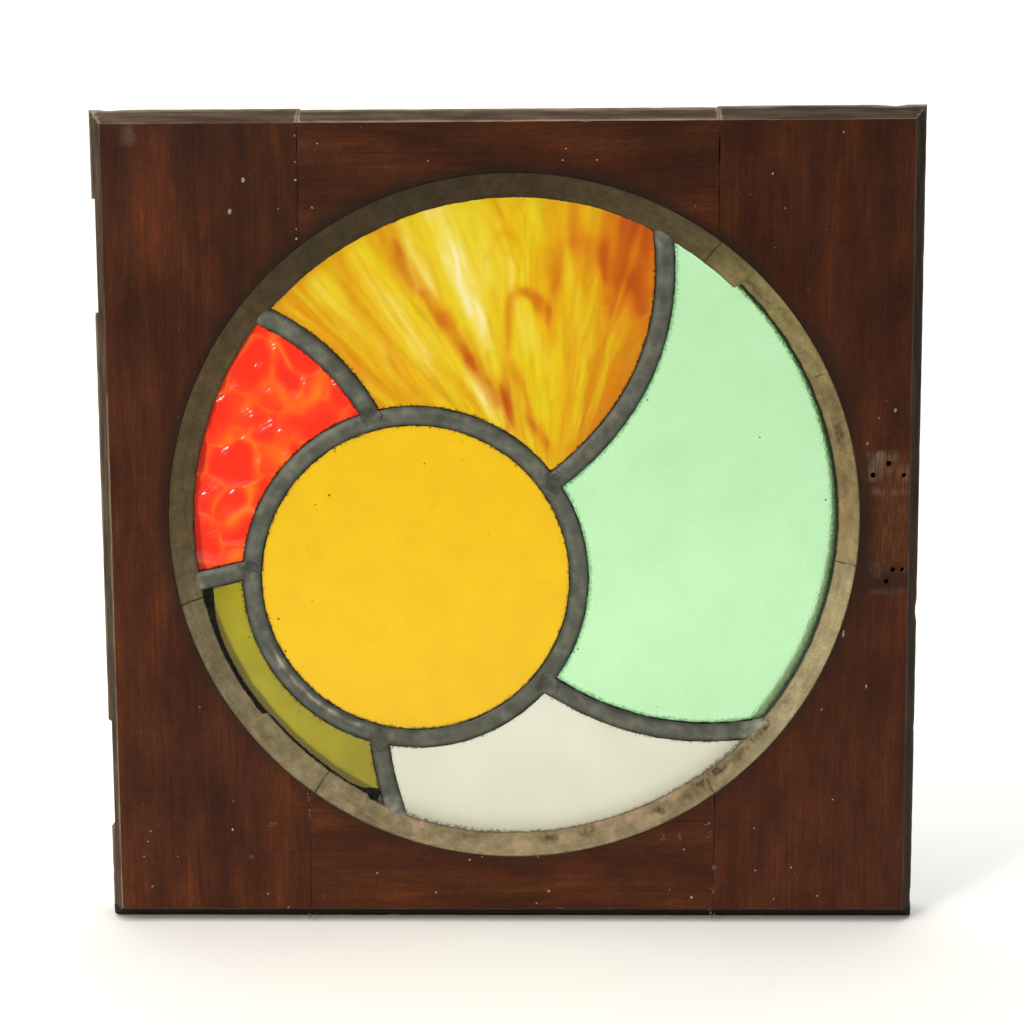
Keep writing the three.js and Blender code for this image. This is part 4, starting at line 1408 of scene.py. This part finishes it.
# damp stains, by angle, place on the slope from 0 outside to 1 at the foot, half width in
# degrees and strength
STAINS = [
    (14.5, 0.45, 3.0, 0.75), (20.0, 0.3, 2.4, 0.4), (7.0, 0.6, 1.6, 0.3), (43.0, 0.7, 4.0, 0.6),
    (38.0, 0.35, 3.0, 0.4), (47.5, 0.2, 2.4, 0.5), (262.0, 0.75, 1.6, 0.6), (276.0, 0.66, 1.5, 0.8),
    (283.0, 0.66, 1.3, 0.75), (289.0, 0.55, 1.2, 0.35), (296.5, 0.62, 1.7, 0.75),
    (301.5, 0.5, 1.2, 0.5), (304.5, 0.64, 1.6, 0.8), (309.0, 0.72, 2.4, 0.75),
    (314.0, 0.7, 2.2, 0.6), (319.0, 0.72, 2.6, 0.8), (325.0, 0.8, 1.8, 0.5), (349.0, 0.8, 1.8, 0.3),
    (205.0, 0.7, 3.0, 0.35), (222.0, 0.3, 2.0, 0.3),
]


def foot_radius(degrees):
    """The radius of the foot of the slope at an angle, with its small waviness."""
    turn = math.radians(degrees)
    spot = Vector((math.cos(turn), math.sin(turn), 0))
    return (between(FOOT, degrees) + 0.4 * noise.noise(spot * 22) + 0.3 * noise.noise(spot * 80)) * MM


def crack_at(degrees, share):
    """How deep the putty is cracked at an angle, from 0 to 1, and the crack's depth in mm."""
    wander = 0.35 * noise.noise(Vector((share * 2.2, degrees / 40, 3)))
    best = (0.0, 0.0)
    for place, width, depth in CRACKS:
        near = max(0.0, 1 - abs(degrees + wander - place) / (width * 1.6))
        best = max(best, (near, depth))
    return best


def stain_at(degrees, share):
    """How stained the putty is at an angle and a place on its slope."""
    wander = 0.3 * noise.noise(Vector((share * 4, degrees / 1.1, 8)))
    best = 0.0
    for place, level, width, strength in STAINS:
        off = math.hypot((degrees - place) / (width * 1.5), (share + wander - level) / 0.24)
        best = max(best, strength * max(0.0, 1 - off * off))
    return best


SLOPE = [0.0, 0.05, 0.14, 0.25, 0.37, 0.5, 0.62, 0.74, 0.86, 0.95, 1.0]
slope_top = OUTER_FACE + 0.3 * MM
slope_foot = GLASS_FRONT - 0.7 * MM
section = [(slope_top + (slope_foot - slope_top) * s, 0.0) for s in SLOPE]
section += [(GLASS_FRONT - 0.02 * MM, 0.0), (GLASS_FRONT - 0.02 * MM, -1.4 * MM)]
section += [(GLASS_BACK + 0.02 * MM, -1.4 * MM), (GLASS_BACK + 0.02 * MM, PUTTY_BED - PUTTY_RADIUS)]
section += [(SHOULDER, PUTTY_BED - PUTTY_RADIUS), (SHOULDER, 0.0)]

bm = bmesh.new()
mark = bm.verts.layers.int.new("mark")
slope_layer = bm.verts.layers.float.new("slope")
crack_layer = bm.verts.layers.float.new("crack")
stain_layer = bm.verts.layers.float.new("stain")
first = []
for i, (depth, outwards) in enumerate(section):
    vert = bm.verts.new(Vector((RING.x + PUTTY_RADIUS + outwards, depth, RING.z)))
    vert[mark] = i
    first.append(vert)
loop = [bm.edges.new((a, b)) for a, b in zip(first, first[1:] + first[:1])]
bmesh.ops.spin(
    bm, geom=loop, cent=RING, axis=(0, -1, 0), angle=2 * math.pi, steps=PUTTY_STEPS, use_merge=True
)
for vert in bm.verts:
    spoke = Vector((vert.co.x - RING.x, 0, vert.co.z - RING.z)).normalized()
    degrees = math.degrees(math.atan2(spoke.z, spoke.x)) % 360
    step = vert[mark]
    if step > len(SLOPE):
        continue
    share = SLOPE[min(step, len(SLOPE) - 1)]
    radius = PUTTY_RADIUS + (foot_radius(degrees) - PUTTY_RADIUS) * share
    vert.co.x = RING.x + spoke.x * radius
    vert.co.z = RING.z + spoke.z * radius
    vert[slope_layer] = share
    split, depth = crack_at(degrees, share)
    vert[crack_layer] = split
    vert[stain_layer] = stain_at(degrees, share)
    if 0 < step < len(SLOPE):
        brush = Vector((spoke.x * 34, spoke.z * 34, radius * 900))
        lumps = noise.noise(brush) * 0.3 + noise.noise(vert.co * 330) * 0.3
        slump = noise.noise(vert.co * 70 + Vector((5, 0, 2))) * 0.5
        vert.co.y += (lumps + slump + 0.3 + split * depth) * MM
        vert.co.y = min(vert.co.y, GLASS_FRONT - 0.3 * MM)
bmesh.ops.recalc_face_normals(bm, faces=bm.faces)
smooth_all(bm)

# partly the putty's own tones, partly painted shade along the top, where the slope faces down, and
# painted light along the bottom, where it faces up
PUTTY_TONE_AND_SHADE = [
    (0.0, "#877552"), (0.05, "#857652"), (0.11, "#8a7f54"), (0.135, "#7a7048"), (0.15, "#574c33"),
    (0.2, "#4d422c"), (0.24, "#3f3323"), (0.29, "#403624"), (0.36, "#443a27"), (0.41, "#564b34"),
    (0.47, "#5a4e37"), (0.51, "#5c5038"), (0.545, "#746a50"), (0.62, "#7f7558"), (0.7, "#7f7355"),
    (0.76, "#8b7d5e"), (0.82, "#8b7c5f"), (0.86, "#7c7152"), (0.9, "#9a9070"), (0.97, "#a0936e"),
    (1.0, "#877552"),
]
putty_finish, tree, shader, place = new_finish("weathered_linseed_putty")
from_ring = add_node(tree, "ShaderNodeVectorMath", {0: place, 1: RING}, operation="SUBTRACT")
out_x = add_node(tree, "ShaderNodeSeparateXYZ", {0: from_ring}, "X")
out_z = add_node(tree, "ShaderNodeSeparateXYZ", {0: from_ring}, "Z")
turn = add_node(tree, "ShaderNodeMath", {0: out_z, 1: out_x}, operation="ARCTAN2")
turn = add_node(tree, "ShaderNodeMath", {0: turn, 1: 1 / (2 * math.pi)}, operation="MULTIPLY")
turn = add_node(tree, "ShaderNodeMath", {0: turn, 1: 1.0}, operation="ADD")
turn = add_node(tree, "ShaderNodeMath", {0: turn, 1: 1.0}, operation="MODULO")
tint = add_node(tree, "ShaderNodeValToRGB", {"Fac": turn}, stops=PUTTY_TONE_AND_SHADE)
fields = {}
for field, size in {"patch": 13, "blotch": 5.5, "grain": 1.3}.items():
    fields[field] = add_node(
        tree,
        "ShaderNodeTexNoise",
        {"Vector": place, "Scale": 1 / (size * MM), "Detail": 5.0, "Roughness": 0.6},
    )
reach = add_node(tree, "ShaderNodeCombineXYZ", {"X": out_x, "Z": out_z})
reach = add_node(tree, "ShaderNodeVectorMath", {0: reach}, "Value", operation="LENGTH")
reach = add_node(tree, "ShaderNodeMath", {0: reach, 1: 1 / (1.7 * MM)}, operation="MULTIPLY")
drawn = add_node(tree, "ShaderNodeMath", {0: turn, 1: 64.0}, operation="MULTIPLY")
drawn = add_node(tree, "ShaderNodeCombineXYZ", {"X": drawn, "Y": reach})
fields["drawn"] = add_node(tree, "ShaderNodeTexNoise", {"Vector": drawn, "Scale": 1.0, "Detail": 4.0})
shades = {"patch": (0.74, 1.2), "blotch": (0.84, 1.12), "grain": (0.84, 1.12), "drawn": (0.88, 1.08)}
for field, (low, high) in shades.items():
    shade = add_node(tree, "ShaderNodeMapRange", {0: fields[field], 1: 0.32, 2: 0.68, 3: low, 4: high})
    tint = add_node(
        tree,
        "ShaderNodeMix",
        {FACTOR: 1.0, UNDER: tint, OVER: shade},
        COLOUR,
        data_type="RGBA",
        blend_type="MULTIPLY",
    )
stain = add_node(tree, "ShaderNodeAttribute", output="Fac", attribute_name="stain")
broken = add_node(tree, "ShaderNodeMapRange", {0: fields["blotch"], 1: 0.38, 2: 0.62, 3: 0.3, 4: 1.4})
stain = add_node(tree, "ShaderNodeMath", {0: stain, 1: broken}, operation="MULTIPLY")
lowest = add_node(tree, "ShaderNodeMapRange", {0: out_z, 1: -0.14, 2: -0.2, 3: 0.0, 4: 1.0})
bloom = add_node(tree, "ShaderNodeMapRange", {0: fields["patch"], 1: 0.54, 2: 0.64, 3: 0.0, 4: 0.5})
bloom = add_node(tree, "ShaderNodeMath", {0: bloom, 1: lowest}, operation="MULTIPLY")
slope = add_node(tree, "ShaderNodeAttribute", output="Fac", attribute_name="slope")
inner_half = add_node(tree, "ShaderNodeMapRange", {0: slope, 1: 0.3, 2: 0.6, 3: 0.3, 4: 1.6})
bloom = add_node(tree, "ShaderNodeMath", {0: bloom, 1: inner_half}, operation="MULTIPLY")
tint = add_node(
    tree,
    "ShaderNodeMix",
    {FACTOR: bloom, UNDER: tint, OVER: linear("#a58670")},
    COLOUR,
    data_type="RGBA",
)
tint = add_node(
    tree,
    "ShaderNodeMix",
    {FACTOR: stain, UNDER: tint, OVER: linear("#3b3020")},
    COLOUR,
    data_type="RGBA",
)
frayed = add_node(tree, "ShaderNodeMapRange", {0: fields["grain"], 1: 0.3, 2: 0.7, 3: -0.05, 4: 0.05})
slope = add_node(tree, "ShaderNodeMath", {0: slope, 1: frayed}, operation="ADD")
foot_line = add_node(tree, "ShaderNodeMapRange", {0: slope, 1: 0.93, 2: 1.0, 3: 0.0, 4: 0.6})
tint = add_node(
    tree,
    "ShaderNodeMix",
    {FACTOR: foot_line, UNDER: tint, OVER: linear("#2b2317")},
    COLOUR,
    data_type="RGBA",
)
feather = add_node(tree, "ShaderNodeMapRange", {0: slope, 1: 0.08, 2: 0.0, 3: 0.0, 4: 0.4})
tint = add_node(
    tree,
    "ShaderNodeMix",
    {FACTOR: feather, UNDER: tint, OVER: linear("#30281c")},
    COLOUR,
    data_type="RGBA",
)
crack = add_node(tree, "ShaderNodeAttribute", output="Fac", attribute_name="crack")
crack = add_node(tree, "ShaderNodeMapRange", {0: crack, 1: 0.25, 2: 0.8, 3: 0.0, 4: 0.85})
tint = add_node(
    tree,
    "ShaderNodeMix",
    {FACTOR: crack, UNDER: tint, OVER: linear("#1f180f")},
    COLOUR,
    data_type="RGBA",
)
bump = add_node(
    tree, "ShaderNodeBump", {"Strength": 0.5, "Distance": 0.35 * MM, "Height": fields["grain"]}
)
tree.links.new(tint, shader.inputs["Base Color"])
tree.links.new(bump, shader.inputs["Normal"])
shader.inputs["Roughness"].default_value = 0.9
shader.inputs["Specular IOR Level"].default_value = 0.2
ring_putty = new_piece("putty_fillet", bm, putty_finish)
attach(ring_putty, "root")
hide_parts("putty_ring")

# ---------------------------------------------------------------- specks and smears
# Spatters of pale house paint on the varnish, crumbs of putty smeared along the joints, the
# plugged screw hole of the catch plate, and fly specks on the glass.

spatter = random.Random(11)

# each listed drop of paint: place x, z, then its width and height
PAINT_DROPS = [
    (97.7, 216, 2.0, 3.2), (89, 197, 2.2, 3.8), (28, -199, 1.0, 1.0), (26, -206, 0.9, 1.2),
    (23, -216, 1.2, 0.9), (45, -216, 0.9, 0.9), (28, -236, 1.3, 1.0), (81, -198, 1.6, 1.6),
    (82, -179, 0.9, 0.9), (62, -117, 1.0, 1.0), (103, -241, 1.1, 1.4), (116, -250, 1.3, 0.9),
    (130, 243, 0.8, 1.4), (130, 227, 0.8, 1.2), (130, 216, 1.7, 1.5), (130, 186, 0.8, 1.2),
    (130, 180, 1.8, 1.5), (144, 238, 1.2, 1.0), (140, 199, 1.0, 1.4), (212, 227, 1.1, 0.9),
    (297, 234, 1.0, 1.0), (295, 227, 1.2, 0.9), (316, 227, 1.0, 1.2), (424, 218, 1.3, 1.2),
    (432, 197, 1.0, 1.3), (467, 243, 1.1, 1.1), (502, 72, 1.6, 2.2), (441, -223, 1.1, 1.4),
    (458, -242, 1.2, 1.1), (430, -244, 1.0, 1.2), (417, -197, 1.0, 1.2), (418, -225, 1.1, 1.1),
    (472, -70, 0.9, 5.5), (487, -104, 1.0, 2.6), (459, -119, 0.9, 1.4), (467, -178, 1.1, 1.1),
    (234, -218, 1.5, 1.5), (242, -216, 1.0, 0.9), (278, -216, 1.0, 1.0), (174, -227, 1.7, 1.1),
    (212, -240, 1.4, 1.3), (285, -239, 1.7, 1.7), (277, -247, 1.3, 1.3), (377, -243, 1.8, 1.8),
    (372, -211, 1.6, 1.3), (363, -238, 1.0, 1.0), (485, 51, 1.6, 1.8), (492, 67, 0.9, 0.9),
]
PUTTY_SMEARS = [
    (389, -201, 4.5, 5.0), (390, -224, 6.5, 4.0), (391, -238, 2.2, 4.6), (390, -253, 5.0, 4.2),
    (359, -203, 1.6, 3.6), (369, -203, 2.0, 4.6), (388, -194, 2.0, 2.6), (107, -195, 5.0, 4.0),
    (94, -216, 3.4, 2.4), (131, -176, 1.2, 5.5), (131, -186, 1.1, 5.0), (130, -256, 2.6, 4.0),
]
GLASS_SPECKS = [
    (146, 18, 1.3), (137, 12, 0.9), (138, 8.5, 0.7), (207, 38, 1.0), (112, -62, 1.4),
    (116, -83, 1.2), (134, -50, 0.9), (150, 46, 1.0), (90, -4, 0.8), (461, 14, 1.2), (419, 54, 1.0),
    (348, 78, 1.2), (304, -82, 1.2), (367, 147, 1.0), (93, -74, 0.9), (124, -123, 0.9),
    (102, -98, 0.9), (355, -120, 0.8),
]
for i in range(46):
    turn, reach = spatter.uniform(0, 2 * math.pi), 96 * math.sqrt(spatter.random())
    spot = (ROUNDEL.x / MM + reach * math.cos(turn), ROUNDEL.z / MM + reach * math.sin(turn))
    GLASS_SPECKS.append((*spot, spatter.uniform(0.3, 0.6)))
for i in range(60):
    x, z = spatter.uniform(14, 506), spatter.uniform(-248, 248)
    if (Vector((x, 0, z)) * MM - RING).xz.length > REBATE_RADIUS + 2 * MM:
        PAINT_DROPS.append((x, z, spatter.uniform(0.3, 0.55), spatter.uniform(0.3, 0.6)))


def blots(name, drops, level, thickness, material):
    """Small irregular domes lying on a plane, all in one piece."""
    bm = bmesh.new()
    for x, z, width, height in drops:
        out = bmesh.ops.create_uvsphere(bm, u_segments=9, v_segments=4, radius=0.5)["verts"]
        bmesh.ops.scale(bm, verts=out, vec=(width * MM, height * MM, 2 * thickness))
        bmesh.ops.rotate(bm, verts=out, matrix=Matrix.Rotation(math.pi / 2, 3, "X"))
        turn = spatter.uniform(-0.4, 0.4)
        bmesh.ops.rotate(bm, verts=out, matrix=Matrix.Rotation(turn, 3, "Y"))
        bmesh.ops.translate(bm, verts=out, vec=(x * MM, level, z * MM))
        for vert in out:
            away = Vector((vert.co.x - x * MM, 0, vert.co.z - z * MM))
            vert.co += away * 0.45 * noise.noise(Vector((vert.co.x, 0, vert.co.z)) * 1500)
    smooth_all(bm)
    piece = new_piece(name, bm, material)
    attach(piece, "root")


def chalky(name, dark, light):
    """A matt crust of two tones."""
    material, tree, shader, place = new_finish(name)
    grit = add_node(tree, "ShaderNodeTexNoise", {"Vector": place, "Scale": 700.0, "Detail": 3.0})
    tint = add_node(tree, "ShaderNodeValToRGB", {"Fac": grit}, stops=[(0.35, dark), (0.65, light)])
    tree.links.new(tint, shader.inputs["Base Color"])
    shader.inputs["Roughness"].default_value = 0.85
    shader.inputs["Specular IOR Level"].default_value = 0.2
    return material


blots("paint_drops", PAINT_DROPS, OUTER_FACE + 0.05 * MM, 0.05 * MM,
      chalky("spattered_pale_house_paint", "#74695a", "#a89e8c"))
crumbs = []
for x, z, width, height in PUTTY_SMEARS:
    for i in range(9):
        across, along = spatter.gauss(0, width * 0.3), spatter.gauss(0, height * 0.34)
        crumbs.append((x + across, z + along, spatter.uniform(0.4, 1.5), spatter.uniform(0.4, 1.3)))
blots("putty_smears", crumbs, OUTER_FACE + 0.05 * MM, 0.04 * MM,
      chalky("smeared_putty", "#43362a", "#71634e"))
blots("fly_specks", [(x, z, size, size) for x, z, size in GLASS_SPECKS], GLASS_FRONT, 0.12 * MM,
      chalky("dried_fly_specks", "#2c1a08", "#4a3214"))
blots("hole_plug", [(488.8, -28.9, 3.6, 3.2)], OUTER_FACE + 0.5 * MM, 0.3 * MM,
      chalky("sawdust_and_glue_plug", "#2e2018", "#4d3a2b"))
